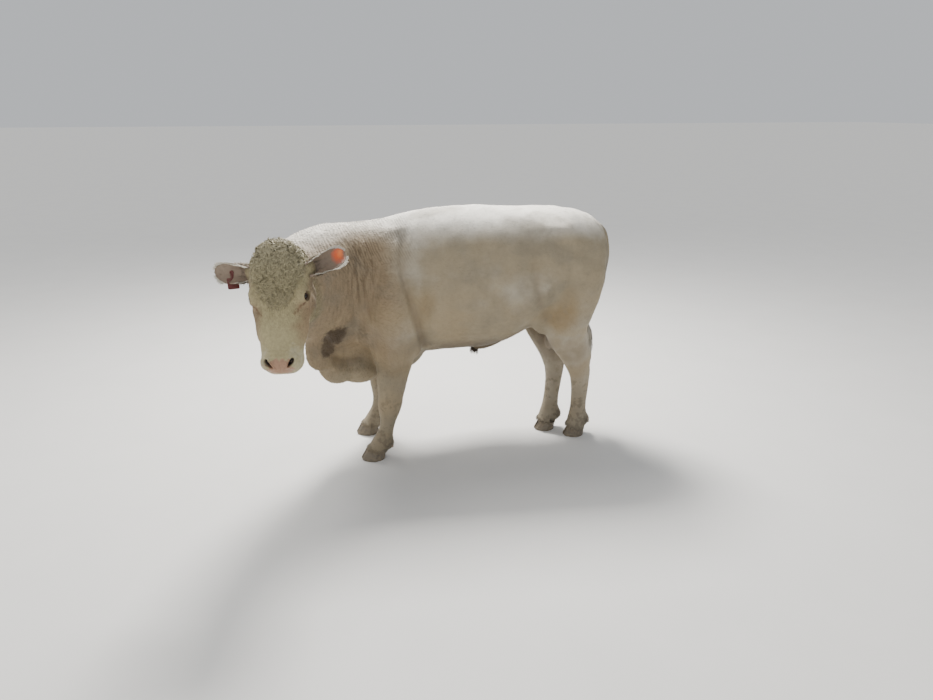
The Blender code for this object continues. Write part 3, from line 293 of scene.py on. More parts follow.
# Creases and swellings of the left side: path, half width, depth (outwards if above zero)
FOLDS = [
    ([(-0.441, -0.147, 1.269), (-0.462, -0.215, 1.177), (-0.463, -0.254, 1.08), (-0.438, -0.273, 0.976),
      (-0.408, -0.272, 0.864), (-0.378, -0.248, 0.743), (-0.34, -0.18, 0.65)], 0.024, -0.019),
    ([(-0.520, -0.130, 1.290), (-0.540, -0.200, 1.180), (-0.545, -0.250, 1.050),
      (-0.510, -0.270, 0.930)], 0.042, 0.011),
    ([(-0.390, -0.215, 1.200), (-0.385, -0.270, 1.070), (-0.360, -0.290, 0.940),
      (-0.330, -0.280, 0.820)], 0.034, 0.008),
    ([(-0.600, -0.240, 0.930), (-0.520, -0.270, 0.830), (-0.450, -0.260, 0.760)], 0.020, -0.009),
    ([(-0.655, -0.150, 1.230), (-0.675, -0.230, 1.100), (-0.670, -0.250, 0.960),
      (-0.640, -0.240, 0.830)], 0.017, -0.008),
    ([(-0.520, -0.260, 0.760), (-0.500, -0.262, 0.680), (-0.505, -0.255, 0.600)], 0.016, -0.005),
    ([(0.235, -0.330, 1.100), (0.265, -0.335, 0.960), (0.310, -0.310, 0.840), (0.350, -0.240, 0.740)], 0.026, -0.011),
    ([(0.300, -0.320, 1.000), (0.345, -0.320, 0.880), (0.390, -0.290, 0.780)], 0.030, 0.007),
    ([(0.330, -0.320, 1.230), (0.450, -0.330, 1.170), (0.580, -0.310, 1.110), (0.680, -0.230, 1.060)], 0.034, -0.007),
    ([(0.340, -0.285, 1.285), (0.430, -0.290, 1.275)], 0.036, 0.009),
    ([(0.225, -0.300, 1.200), (0.250, -0.325, 1.120), (0.275, -0.335, 1.040)], 0.050, -0.009),
    ([(0.600, -0.290, 1.060), (0.590, -0.290, 0.940), (0.585, -0.270, 0.820), (0.600, -0.240, 0.700)], 0.018, -0.010),
    ([(0.460, -0.330, 1.060), (0.440, -0.320, 0.940), (0.420, -0.300, 0.820)], 0.024, -0.006),
    ([(-0.250, -0.290, 1.180), (-0.215, -0.310, 1.040), (-0.190, -0.305, 0.900)], 0.020, -0.0035),
    ([(-0.150, -0.290, 1.200), (-0.105, -0.315, 1.050), (-0.080, -0.310, 0.900)], 0.020, -0.0040),
    ([(-0.050, -0.290, 1.210), (0.000, -0.325, 1.050), (0.030, -0.320, 0.900)], 0.020, -0.0040),
    ([(0.060, -0.300, 1.210), (0.110, -0.330, 1.060), (0.135, -0.325, 0.920)], 0.020, -0.0035),
    ([(-0.556, -0.235, 0.300), (-0.560, -0.225, 0.360)], 0.020, 0.004),
    ([(-0.575, -0.215, 0.270), (-0.590, -0.212, 0.160)], 0.007, -0.004),
    ([(-0.535, -0.205, 0.270), (-0.548, -0.205, 0.150)], 0.007, -0.004),
    ([(0.620, -0.235, 0.400), (0.618, -0.235, 0.170)], 0.008, -0.005),
    ([(0.560, -0.240, 0.560), (0.600, -0.240, 0.470)], 0.010, -0.004),
]
# Folds of the turned neck, the brisket and the topline, on their own side only
NECK_FOLDS = [
    ([(-0.800, -0.250, 1.250), (-0.800, -0.285, 1.100), (-0.790, -0.270, 0.930),
      (-0.770, -0.200, 0.760)], 0.014, -0.008),
    ([(-0.750, -0.230, 1.270), (-0.745, -0.275, 1.120), (-0.735, -0.265, 0.960),
      (-0.720, -0.210, 0.800)], 0.013, -0.006),
    ([(-0.700, -0.210, 1.270), (-0.700, -0.262, 1.100), (-0.690, -0.255, 0.930)], 0.013, -0.006),
    ([(-0.850, -0.280, 1.240), (-0.860, -0.315, 1.080), (-0.855, -0.300, 0.940),
      (-0.830, -0.230, 0.800)], 0.014, -0.008),
    ([(-0.905, -0.320, 1.200), (-0.915, -0.350, 1.060), (-0.905, -0.330, 0.940)], 0.013, -0.007),
    ([(-0.885, -0.235, 0.700), (-0.840, -0.185, 0.640), (-0.782, -0.162, 0.606), (-0.699, -0.160, 0.612),
      (-0.640, -0.190, 0.600), (-0.622, -0.180, 0.530)], 0.017, -0.016),
    ([(-0.850, -0.190, 0.590), (-0.770, -0.140, 0.550), (-0.680, -0.140, 0.560)], 0.026, 0.008),
    ([(-0.905, -0.300, 0.860), (-0.870, -0.260, 0.740), (-0.800, -0.190, 0.680),
      (-0.700, -0.180, 0.680)], 0.016, -0.009),
    ([(-0.860, -0.250, 0.930), (-0.800, -0.230, 0.830), (-0.720, -0.220, 0.760)], 0.015, -0.007),
]
# Swellings of the face, both sides, in the head's frame: middle, radii, height
FACE_SWELLS = [
    ((0.190, 0.112, -0.040), (0.050, 0.050, 0.046), 0.0100),
    ((0.160, 0.100, -0.008), (0.034, 0.034, 0.024), 0.0060),
    ((0.150, 0.118, -0.070), (0.040, 0.030, 0.034), 0.0040),
    ((0.235, 0.115, -0.088), (0.045, 0.030, 0.030), 0.0050),
    ((0.300, 0.110, -0.100), (0.130, 0.050, 0.070), 0.0100),
    ((0.180, 0.130, -0.190), (0.080, 0.050, 0.060), 0.0060),
    ((0.440, 0.080, -0.090), (0.050, 0.030, 0.035), 0.0050),
    ((0.475, 0.062, -0.045), (0.024, 0.024, 0.020), 0.0040),
    ((0.065, 0.132, -0.050), (0.075, 0.036, 0.055), 0.0110),
]
# Folds of the face, both sides, in the head's frame
FACE_FOLDS = [
    ([(0.245, 0.118, -0.085), (0.310, 0.112, -0.092), (0.360, 0.098, -0.094)], 0.012, 0.0035),
    ([(0.245, 0.118, -0.112), (0.310, 0.110, -0.122), (0.380, 0.094, -0.120)], 0.014, -0.0035),
    ([(0.150, 0.130, -0.110), (0.175, 0.128, -0.180), (0.220, 0.105, -0.240)], 0.018, -0.005),
    ([(0.220, 0.060, -0.262), (0.290, 0.050, -0.225), (0.360, 0.040, -0.190)], 0.014, -0.004),
    ([(0.400, 0.060, -0.028), (0.440, 0.066, -0.045), (0.462, 0.074, -0.068)], 0.007, -0.003),
    ([(0.380, 0.080, -0.080), (0.430, 0.080, -0.078)], 0.006, -0.003),
    ([(0.456, 0.000, -0.020), (0.455, 0.034, -0.028)], 0.0045, -0.0024),
    ([(0.440, 0.000, -0.018), (0.438, 0.040, -0.026), (0.430, 0.058, -0.040)], 0.0050, -0.0022),
    ([(0.424, 0.010, -0.016), (0.420, 0.042, -0.024)], 0.0050, -0.0018),
    ([(0.222, 0.104, -0.020), (0.252, 0.088, -0.016), (0.290, 0.074, -0.016)], 0.005, -0.0030),
    ([(0.236, 0.116, -0.044), (0.262, 0.108, -0.040), (0.290, 0.098, -0.038)], 0.005, -0.0020),
    ([(0.500, 0.000, -0.040), (0.518, 0.000, -0.075), (0.520, 0.000, -0.105)], 0.0035, -0.003),
]

# Moist line that runs down from the inner corner of an eye, in the head's frame
TEAR_LINE = [(0.226, 0.108, -0.034), (0.240, 0.096, -0.029), (0.256, 0.084, -0.026), (0.271, 0.070, -0.020)]
TEAR_HALF_WIDTH = 0.0058

# Coat: how many tufts, and length, width and rise of one
BODY_TUFTS, BODY_TUFT = 100000, (0.0135, 0.0026, 0.0013)
NECK_TUFTS, NECK_TUFT = 26000, (0.0185, 0.0034, 0.0022)
FOOT_TUFTS, FOOT_TUFT = 7000, (0.019, 0.0030, 0.0032)
FACE_TUFTS, FACE_TUFT = 36000, (0.0130, 0.0024, 0.0017)
CURL_CLUMPS, CURL_LOCKS = 210, 8200
LASHES, UPPER_LASHES = 90, 70
EAR_TUFTS = (
    ("inner", 1500, 0.5, 0.030, 0.0028, 0.0055),
    ("back", 3000, -0.5, 0.014, 0.0028, 0.0022),
    ("rim", 1500, 0.0, 0.020, 0.0026, 0.0040),
    ("root", 900, -0.5, 0.030, 0.0036, 0.0060),
)
# Locks of tail and sheath: upper and lower end of their roots, spread, count, length and width
TAIL_LOCKS = ((0.688, -0.072, 0.665), (0.692, -0.075, 0.585), 0.026, 420, 0.168, 0.0085)
SHEATH_LOCKS = ((-0.012, 0, 0.562), (0.006, 0, 0.556), 0.014, 90, 0.050, 0.0040)
# The curly patch from poll to brow: steps along the face, half width where clumps sit, and of the whole patch
CURL_STEPS = (-0.06, 0.02, 0.12, 0.20, 0.27)
CURL_HALF = (0.112, 0.128, 0.108, 0.068, 0.024)
CURL_EDGE = (0.122, 0.138, 0.118, 0.074, 0.030)
CURL_LENGTH, CURL_WIDTH = 0.031, 0.0050
# Roots lie a little under the skin; PATCH is each tuft's size on the unwrap
TUFT_SUNK = -0.0012
PATCH = 0.003
HAIR_OVER_FLOOR = 0.004
PIECE_TRIANGLES = 190000
UNWRAP_TRIANGLES = 14000

# Camera: where it stands in the bull's frame, how far it looks down and to the right, and its field
CAMERA_AT = Vector((-1.15, -3.76, 1.90))
CAMERA_DOWN = 19.1
CAMERA_TURN = 16.3
FOCUS_PIXELS = 700
FRAME_PIXELS = 933

# Colours of coat and skin, as light on a plain pale floor shows them
CREAM = (0.330, 0.272, 0.180)
WHITE_COAT = (0.740, 0.715, 0.650)
NECK_TAN = (0.310, 0.222, 0.132)
# Painted shade of the neck's wrinkles and the body's creases
NECK_SHADE = (0.135, 0.090, 0.050)
WET_BROWN = (0.060, 0.038, 0.019)
STAIN = (0.270, 0.185, 0.085)
# Grey of dirt, also used as painted shade under the belly
DIRT_AND_SHADE_GREY = (0.180, 0.158, 0.115)
FACE_CREAM = (0.385, 0.335, 0.182)
NOSE_PINK = (0.335, 0.185, 0.118)
# Near-black skin, and painted shade inside the nostrils and along the mouth's line
DARK_SKIN_AND_SHADE = (0.020, 0.012, 0.010)
TEAR = (0.190, 0.115, 0.070)
# Painted glow of light through the thin end of the left ear
EAR_GLOW = (0.840, 0.130, 0.035)
EAR_GLOW_CORE = (0.960, 0.260, 0.070)
EAR_SKIN_DARK, EAR_SKIN_PALE = (0.19, 0.135, 0.100), (0.30, 0.235, 0.170)
EAR_HAIR_BROWN = (0.215, 0.172, 0.125)
SHEATH_HAIR_BROWN = (0.045, 0.034, 0.026)
LASH_BROWN = (0.16, 0.12, 0.085)
BLOTCH_GREY = (0.215, 0.190, 0.143)
BLOTCH_TAN = (0.370, 0.285, 0.165)
# Painted shade of the belly's underside
BELLY_PAINTED_SHADE = (0.105, 0.082, 0.058)
# Dark of the sheath, with painted shade of the belly's underside
SHEATH_BROWN_AND_SHADE = (0.075, 0.060, 0.045)
# Painted shade between the thighs
BETWEEN_THIGHS_SHADE = (0.130, 0.100, 0.075)
CAKED_DIRT = (0.105, 0.086, 0.060)
# Tan of the jaw, partly painted shade
JAW_TAN_AND_SHADE = (0.235, 0.165, 0.100)
CHEEK_TAN = (0.290, 0.195, 0.112)
BROW_TAN = (0.255, 0.190, 0.120)
MUZZLE_PALE = (0.56, 0.51, 0.38)
TEAR_TRACK = (0.150, 0.075, 0.045)
EYE_WHITE, PUPIL_BLACK = (0.34, 0.25, 0.20), (0.004, 0.004, 0.006)
IRIS_DARK, IRIS_BROWN = (0.020, 0.011, 0.007), (0.060, 0.030, 0.016)
RIM_DARK, RIM_PINK = (0.055, 0.030, 0.024), (0.16, 0.085, 0.065)
HORN_DARK, HORN_PALE = (0.080, 0.066, 0.048), (0.215, 0.180, 0.128)
HORN_CROWN, HORN_DIRT = (0.34, 0.22, 0.17), (0.20, 0.16, 0.11)
TAG_RED, TAG_WORN, TAG_DUST = (0.150, 0.030, 0.026), (0.100, 0.020, 0.020), (0.26, 0.19, 0.14)
FLOOR_PALE, FLOOR_PALER = (0.66, 0.655, 0.64), (0.71, 0.705, 0.69)
# Stained places, and painted shade under the belly and between the thighs: centre, radii, colour, strength
STAINS_AND_SHADE = (
    ((-0.350, -0.30, 0.925), (0.045, 0.14, 0.080), STAIN, 0.42),
    ((0.410, -0.31, 0.785), (0.080, 0.14, 0.070), STAIN, 0.62),
    ((0.445, -0.34, 0.870), (0.050, 0.12, 0.080), STAIN, 0.30),
    ((0.730, -0.20, 0.980), (0.035, 0.14, 0.260), DIRT_AND_SHADE_GREY, 0.75),
    ((0.600, -0.29, 1.160), (0.120, 0.12, 0.090), DIRT_AND_SHADE_GREY, 0.25),
    ((-0.620, -0.20, 0.540), (0.160, 0.14, 0.080), DIRT_AND_SHADE_GREY, 0.55),
    # Painted shade along the underside of the belly, the first over the sheath's own dark colour
    ((0.090, -0.01, 0.575), (0.200, 0.07, 0.050), SHEATH_BROWN_AND_SHADE, 0.80),
    ((-0.150, 0.00, 0.575), (0.250, 0.10, 0.030), DIRT_AND_SHADE_GREY, 0.60),
    # Painted shade between the thighs, over the scrotum
    ((0.470, -0.075, 0.640), (0.120, 0.13, 0.150), BETWEEN_THIGHS_SHADE, 0.75),
)

# Light of the studio
SKY = (0.93, 0.96, 1.0, 1.0)
SUNLIGHT, FILL_LIGHT = (1.0, 0.97, 0.92), (1.0, 0.95, 0.88)
SKY_STRENGTH = 0.63
# Name, kind, place, size (an angle for the sun), power, colour
LIGHTS = (
    ("overhead", "SUN", (-1.0, 2.2, 4.6), radians(30), 1.40, SUNLIGHT),
    ("key", "AREA", (0.3, 2.2, 4.0), 1.1, 480.0, SUNLIGHT),
    ("fill", "AREA", (-3.4, -4.2, 3.4), 2.0, 60.0, FILL_LIGHT),
)
LIGHTS_AIM = Vector((0, 0, 0.9))
FLOOR_SIZE = 80.0
SENSOR_WIDTH = 36.0


def clear_start():
    """Removes lights and cameras that the file opened with."""
    for obj in list(bpy.data.objects):
        if obj.type in {"LIGHT", "CAMERA"}:
            bpy.data.objects.remove(obj)


def turned(degrees):
    """Rotation about x, then y, then z."""
    x, y, z = (radians(angle) for angle in degrees)
    return Matrix.Rotation(z, 4, "Z") @ Matrix.Rotation(y, 4, "Y") @ Matrix.Rotation(x, 4, "X")


def head_place():
    """Matrix from the head's own frame (x along the face, y to its left, z out of the forehead)."""
    pitch, yaw, roll = radians(FACE_PITCH), radians(FACE_YAW), radians(FACE_ROLL)
    level = Vector((-sin(yaw), -cos(yaw), 0))
    ahead = level * cos(pitch) + Vector((0, 0, -sin(pitch)))
    left = Vector((0, 0, 1)).cross(level)
    crown = ahead.cross(left)
    left, crown = left * cos(roll) + crown * sin(roll), crown * cos(roll) - left * sin(roll)
    place = Matrix((ahead, left, crown)).transposed().to_4x4()
    return Matrix.Translation(POLL) @ place


HEAD_PLACE = head_place()
HEAD_AXES = np.array(HEAD_PLACE.to_3x3())
EYE_LOW, EYE_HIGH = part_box("eye_left")
SHIFT = (Vector(EYE_LOW) + Vector(EYE_HIGH)) / 2 - HEAD_PLACE @ EYE_PLACE


def to_head(points):
    """Points of the bull's frame in the head's frame."""
    return (points - np.array(POLL)) @ HEAD_AXES


def from_head(points):
    return np.asarray(points) @ HEAD_AXES.T + np.array(POLL)


def smooth_step(value):
    value = np.clip(value, 0.0, 1.0)
    return value * value * (3 - 2 * value)


def unit(vectors):
    return vectors / np.maximum(np.linalg.norm(vectors, axis=-1, keepdims=True), 1e-9)


def bell(values, middle=0.0, width=1.0):
    """1 at the middle, falling softly to 0 on both sides."""
    return np.exp(-(((values - middle) / width) ** 2))


def egg_distance(places, centre, radii):
    """How far places lie from the centre of an egg, where 1 is its surface."""
    return np.linalg.norm((places - np.array(centre)) / np.array(radii), axis=1)


def blended(first, second, share):
    return first * (1 - share) + second * share


def folded_left(local):
    """Places of the head's frame with its right side folded over its left."""
    return local * np.array((1, 0, 1)) + np.abs(local) * np.array((0, 1, 0))


def eye_middle(side):
    return np.array((EYE_PLACE.x, EYE_PLACE.y * side, EYE_PLACE.z))


def add_blob(bm, centre, radii, turn=(0, 0, 0), place=Matrix()):
    """A rounded muscle or bone form."""
    shape = place @ Matrix.Translation(centre) @ turned(turn) @ Matrix.Diagonal((*radii, 1.0))
    form = bmesh.new()
    bmesh.ops.create_uvsphere(form, u_segments=32, v_segments=21, radius=1.0, matrix=shape)
    mesh = mesh_of(form, "form")
    bm.from_mesh(mesh)
    bpy.data.meshes.remove(mesh)


def add_loft(bm, rings, closed=False):
    """A body through rings that all have the same count of points; closed, the last ring meets the first."""
    count = len(rings[0])
    rows = len(rings) if closed else len(rings) - 1
    made = bmesh.ops.create_grid(bm, x_segments=rows, y_segments=count, size=1.0)["verts"]
    for vert in made:
        row = round((vert.co.x + 1) / 2 * rows) % len(rings)
        column = round((vert.co.y + 1) / 2 * count) % count
        vert.co = rings[row][column]
    bmesh.ops.remove_doubles(bm, verts=made, dist=0.00001)
    if not closed:
        bmesh.ops.holes_fill(bm, edges=[edge for edge in bm.edges if edge.is_boundary])


def oval(side, up, down, steps=28, upper_power=2.0, lower_power=2.0):
    """Points of an egg-shaped section: (across, height) pairs."""
    points = []
    for i in range(steps):
        angle = 2 * pi * i / steps
        reach, power = (up, upper_power) if sin(angle) >= 0 else (down, lower_power)
        across = side * np.sign(cos(angle)) * abs(cos(angle)) ** (2 / power)
        points.append((across, reach * np.sign(sin(angle)) * abs(sin(angle)) ** (2 / power)))
    return points


def smooth_path(points, count):
    """Evenly counted points of a smooth curve through the given ones."""
    points = [Vector(point) for point in points]
    result = []
    for i in range(count):
        at = i / (count - 1) * (len(points) - 1)
        k = min(int(at), len(points) - 2)
        t = at - k
        a, b = points[max(k - 1, 0)], points[k]
        c, d = points[k + 1], points[min(k + 2, len(points) - 1)]
        result.append(
            0.5 * (2 * b + (c - a) * t + (2 * a - 5 * b + 4 * c - d) * t**2 + (3 * b - a - 3 * c + d) * t**3)
        )
    return result


def mid_line(x):
    """Where the middle plane of the body lies at x, as the hindquarters swing to the left."""
    return REAR_SWING * smooth_step(x / REAR_LENGTH)


def right_leg_point(x, y, z, hind):
    """Where a point of a left leg lies on the right one, which stands over its own foot."""
    foot = HIND_RIGHT_FOOT if hind else FORE_RIGHT_FOOT
    hip = HIND_RIGHT_HIP_SHIFT if hind else (0.0, 0.0)
    share = float(smooth_step(1 - z / HIP_HEIGHT))
    return x + hip[0] + (foot[0] - hip[0]) * share, -y + hip[1] + (foot[1] - hip[1]) * share, z


def mirrored(centre, turn):
    """The right side's copy of a left form, across the swung middle plane."""
    x, y, z = centre
    return (x, 2 * float(mid_line(x)) - y, z), (-turn[0], turn[1], -turn[2])


def add_trunk(bm):
    rings = []
    for x, top, bottom, half, widest, upper, lower in TRUNK:
        middle = bottom + (top - bottom) * widest
        section = oval(half, top - middle, middle - bottom, 48, upper, lower)
        rings.append([(x, mid_line(x) + across, middle + height) for across, height in section])
    add_loft(bm, rings)


def add_neck(bm):
    centres = [Vector(row[:3]) for row in NECK]
    rings = []
    for i, row in enumerate(NECK):
        ahead = centres[min(i + 1, len(NECK) - 1)] - centres[max(i - 1, 0)]
        side = Vector((-ahead.y, ahead.x, 0)).normalized()
        section = oval(row[5], row[3], row[4], 40, 2.0, 1.7)
        rings.append([centres[i] + side * across + Vector((0, 0, height)) for across, height in section])
    add_loft(bm, rings)


def add_leg(bm, rows, right, hind):
    """One leg from its sections."""
    rings = []
    for height, x, y, length, half in rows:
        if right:
            x, y, _ = right_leg_point(x, y, height, hind)
        section = oval(half, length, length, 28)
        rings.append([(x + along, y + across, height) for across, along in section])
    add_loft(bm, rings)


def add_tube(bm, path, radii, count, sides=20):
    """A tapered round tube along a smooth path."""
    points = smooth_path(path, count)
    rings = []
    for i, point in enumerate(points):
        ahead = (points[min(i + 1, count - 1)] - points[max(i - 1, 0)]).normalized()
        across = ahead.cross(Vector((0, 1, 0))).normalized()
        up = across.cross(ahead)
        radius = float(np.interp(i / (count - 1), np.linspace(0, 1, len(radii)), radii))
        turns = (2 * pi * k / sides for k in range(sides))
        rings.append([point + (across * cos(turn) + up * sin(turn)) * radius for turn in turns])
    add_loft(bm, rings)


def add_head(bm):
    rings = []
    for x, top, bottom, half, widest in HEAD:
        middle = bottom + (top - bottom) * widest
        section = oval(half, top - middle, middle - bottom, 44, 2.6, 1.9)
        rings.append([HEAD_PLACE @ Vector((x, across, middle + height)) for across, height in section])
    add_loft(bm, rings)
    for centre, radii in HEAD_SIDE_FORMS:
        for side in (1, -1):
            add_blob(bm, (centre[0], centre[1] * side, centre[2]), radii, place=HEAD_PLACE)
    for centre, radii in HEAD_MIDDLE_FORMS:
        add_blob(bm, centre, radii, place=HEAD_PLACE)


def flesh_forms():
    """Every form of the trunk, neck, legs, tail, head and underside in one mesh."""
    bm = bmesh.new()
    add_trunk(bm)
    add_neck(bm)
    for right in (False, True):
        add_leg(bm, FORE_LEG, right, False)
        add_leg(bm, HIND_LEG, right, True)
        for centre, radii, hind in JOINT_FORMS:
            add_blob(bm, right_leg_point(*centre, hind) if right else centre, radii)
    for centre, radii, turn in SIDE_FORMS:
        right_centre, right_turn = mirrored(centre, turn)
        add_blob(bm, centre, radii, turn)
        add_blob(bm, right_centre, radii, right_turn)
    for centre, radii, turn in MIDDLE_FORMS:
        add_blob(bm, centre, radii, turn)
    add_head(bm)
    add_tube(bm, TAIL_PATH, TAIL_RADII, 40)
    add_tube(bm, SHEATH_PATH, SHEATH_RADII, 20)
    add_blob(bm, (0.470, SCROTUM_MIDDLE - 0.024, 0.590), (0.040, 0.034, 0.066))
    add_blob(bm, (0.462, SCROTUM_MIDDLE + 0.024, 0.582), (0.040, 0.034, 0.068))
    add_blob(bm, (0.462, SCROTUM_MIDDLE, 0.690), (0.030, 0.028, 0.080))
    return bm


def with_modifiers(obj):
    """Replaces the mesh by the one that its modifiers give."""
    graph = bpy.context.evaluated_depsgraph_get()
    mesh = bpy.data.meshes.new_from_object(obj.evaluated_get(graph))
    obj.modifiers.clear()
    obj.data = mesh


def object_of(mesh, name):
    obj = bpy.data.objects.new(name, mesh)
    bpy.context.scene.collection.objects.link(obj)
    return obj


def dressed(piece, material):
    """Moves a piece made in the bull's frame to the model's, smooth and in one material."""
    piece.data.transform(Matrix.Translation(SHIFT))
    piece.data.shade_smooth()
    piece.data.materials.clear()
    piece.data.materials.append(material)
    return piece


def mesh_of(bm, name):
    mesh = bpy.data.meshes.new(name)
    bm.to_mesh(mesh)
    bm.free()
    return mesh


def vertex_places(mesh):
    flat = np.empty(len(mesh.vertices) * 3)
    mesh.vertices.foreach_get("co", flat)
    return flat.reshape(-1, 3)


def vertex_normals(mesh):
    flat = np.empty(len(mesh.vertices) * 3, dtype=np.float32)
    mesh.vertex_normals.foreach_get("vector", flat)
    return flat.reshape(-1, 3).astype(float)


def set_places(mesh, places):
    mesh.vertices.foreach_set("co", np.ascontiguousarray(places).ravel())
    mesh.update()


def smoothed(mesh, rounds, share):
    """Evens out the vertices over their neighbours; share is each vertex's part in it."""
    edges = np.empty(len(mesh.edges) * 2, dtype=np.int64)
    mesh.edges.foreach_get("vertices", edges)
    edges = edges.reshape(-1, 2)
    ends = np.concatenate([edges[:, 0], edges[:, 1]])
    others = np.concatenate([edges[:, 1], edges[:, 0]])
    places = vertex_places(mesh)
    count = len(places)
    links = np.maximum(np.bincount(ends, minlength=count), 1)
    for _ in range(rounds):
        total = np.stack([np.bincount(ends, weights=places[others, k], minlength=count) for k in range(3)], axis=1)
        places += (total / links[:, None] - places) * 0.5 * share[:, None]
    set_places(mesh, places)


def path_distance(places, path):
    """Distance to the nearest point of a smooth path."""
    points = np.array(smooth_path(path, max(2, 4 * len(path))))
    best = np.full(len(places), 10.0)
    for start, end in zip(points, points[1:]):
        along = end - start
        share = np.clip((places - start) @ along / max(along @ along, 1e-9), 0, 1)
        best = np.minimum(best, np.linalg.norm(places - start - share[:, None] * along, axis=1))
    return best


def fold_height(places, folds):
    """How far a set of creases and swellings moves each place outwards."""
    height = np.zeros(len(places))
    for path, half_width, depth in folds:
        low, high = np.min(path, axis=0) - 4 * half_width, np.max(path, axis=0) + 4 * half_width
        near = np.all((places > low) & (places < high), axis=1)
        if near.any():
            height[near] += depth * bell(path_distance(places[near], path), width=half_width)
    return height


def body_fold_height(places):
    """The same for all creases and swellings of the body."""
    return fold_height(places, FOLDS) + fold_height(places, right_folds()) + fold_height(places, NECK_FOLDS)


def swell_height(places, swells):
    """How far a set of round swellings moves each place outwards."""
    height = np.zeros(len(places))
    for centre, radii, rise in swells:
        height += rise * bell(egg_distance(places, centre, radii))
    return height


def head_share(places):
    """1 on the head, 0 on the neck and body."""
    local = to_head(places) - np.array(HEAD_CUT_AT)
    out = local @ np.array(HEAD_CUT_OUT)
    down = local @ np.array(HEAD_CUT_DOWN)
    return smooth_step((out + 0.09) / 0.11) * smooth_step((0.50 - down) / 0.06)


def marks(places):
    """How far each place lies in a crease of the body and on the moist line under an eye."""
    local = folded_left(to_head(places))
    tear = np.zeros(len(places))
    near = np.linalg.norm(local - np.array(TEAR_LINE[1]), axis=1) < 0.08
    tear[near] = bell(path_distance(local[near], TEAR_LINE), width=TEAR_HALF_WIDTH)
    crease = np.clip((-body_fold_height(places) - 0.002) / 0.014, 0, 1) * (1 - head_share(places))
    return {"crease": crease, "tear": tear}


def add_marks(mesh, values):
    for name, value in values.items():
        mesh.attributes.new(name, "FLOAT", "POINT").data.foreach_set("value", value)


def body_smoothing(places):
    """How strongly the fused forms are evened out: fully on the body, little on head, tail and underside."""
    share = 1 - head_share(places)
    for path, reach in ((TAIL_PATH, 0.055), (SHEATH_PATH, 0.050)):
        near = np.all((places > np.min(path, axis=0) - 0.1) & (places < np.max(path, axis=0) + 0.1), axis=1)
        held = np.zeros(len(places))
        held[near] = 1 - smooth_step((path_distance(places[near], path) - reach) / 0.03)
        share *= 1 - 0.92 * held
    pouch = egg_distance(places, (0.466, SCROTUM_MIDDLE, 0.61), (0.07, 0.08, 0.11))
    return share * smooth_step((pouch - 0.8) / 0.4)


def made_finer(mesh, centres_inside):
    """Splits the faces whose middle is in a region in four."""
    bm = bmesh.new()
    bm.from_mesh(mesh)
    middles = np.array([face.calc_center_median()[:] for face in bm.faces])
    bm.faces.ensure_lookup_table()
    edges = set()
    for index in np.nonzero(centres_inside(middles))[0]:
        edges.update(bm.faces[index].edges)
    bmesh.ops.subdivide_edges(bm, edges=list(edges), cuts=1, use_grid_fill=True)
    bm.to_mesh(mesh)
    bm.free()


def eye_frame(side):
    """Middle of an eye, and the directions along its lids, up and out, in the head's frame."""
    out = Vector((EYE_AIM[0], EYE_AIM[1] * side, EYE_AIM[2])).normalized()
    along = Vector(EYE_LINE)
    along = (along - out * along.dot(out)).normalized()
    up = out.cross(along) * side
    return (np.array(vector) for vector in (Vector(eye_middle(side)), along, up, out))


def lid_share(a, b):
    """Below 1 inside the almond between the lids, above 1 outside it."""
    return (np.abs(a) / LID_HALF_LENGTH) ** 2 + (np.abs(b) / LID_HALF_HEIGHT) ** 1.43


def open_lids(local):
    """Draws the skin over the eyeballs as lids, and in behind them between the lids."""
    for side in (1, -1):
        centre, along, up, out = eye_frame(side)
        offset = local - centre
        near = (np.linalg.norm(offset, axis=1) < 0.052) & (offset @ out > -0.012)
        part = offset[near]
        a, b, c = part @ along, part @ up, part @ out
        share = lid_share(a, b)
        flat = a * a + b * b
        lid = np.sqrt(np.maximum((EYE_RADIUS + LID_THICK) ** 2 - flat, 0))
        over = flat < (EYE_RADIUS + LID_THICK) ** 2
        raised = np.where(over, np.maximum(c, lid), c)
        drawn = np.where(over, lid, c)
        blend = smooth_step((share - 1.05) / 2.4)
        height = raised * blend + drawn * (1 - blend)
        for far, wide, above, below in LID_RINGS:
            height += np.where(b > 0, above, below) * bell(share, far, wide)
        behind = np.sqrt(np.maximum((0.86 * EYE_RADIUS) ** 2 - flat, 0)) - 0.003
        height = np.where(share < 1.0, np.minimum(behind, height), height)
        local[near] += (height - c)[:, None] * out


def nostril_slot(local, side):
    """Middle and axes of a nostril, laid on the muzzle's surface."""
    ends = []
    for x, y in (NOSTRIL_INNER, NOSTRIL_OUTER):
        close = (np.abs(local[:, 0] - x) < 0.004) & (np.abs(local[:, 1] - y * side) < 0.004)
        ends.append(np.array((x, y * side, local[close, 2].max())))
    along = unit(ends[1] - ends[0])
    rise = np.array((0.0, 0.0, 1.0))
    rise = unit(rise - along * (rise @ along))
    return (ends[0] + ends[1]) / 2, along, np.cross(rise, along), rise


def nostril_share(local, slot, side):
    """Below 1 inside a nostril's comma shape, above 1 outside it."""
    middle, along, across, _ = slot
    u = (local - middle) @ along / (NOSTRIL_LENGTH / 2)
    v = (local - middle) @ across / NOSTRIL_HALF_WIDTH
    v = (v - side * 0.5 * (u * u - 0.4)) / np.maximum(1 + 0.5 * u, 0.3)
    return np.sqrt(u * u + v * v)


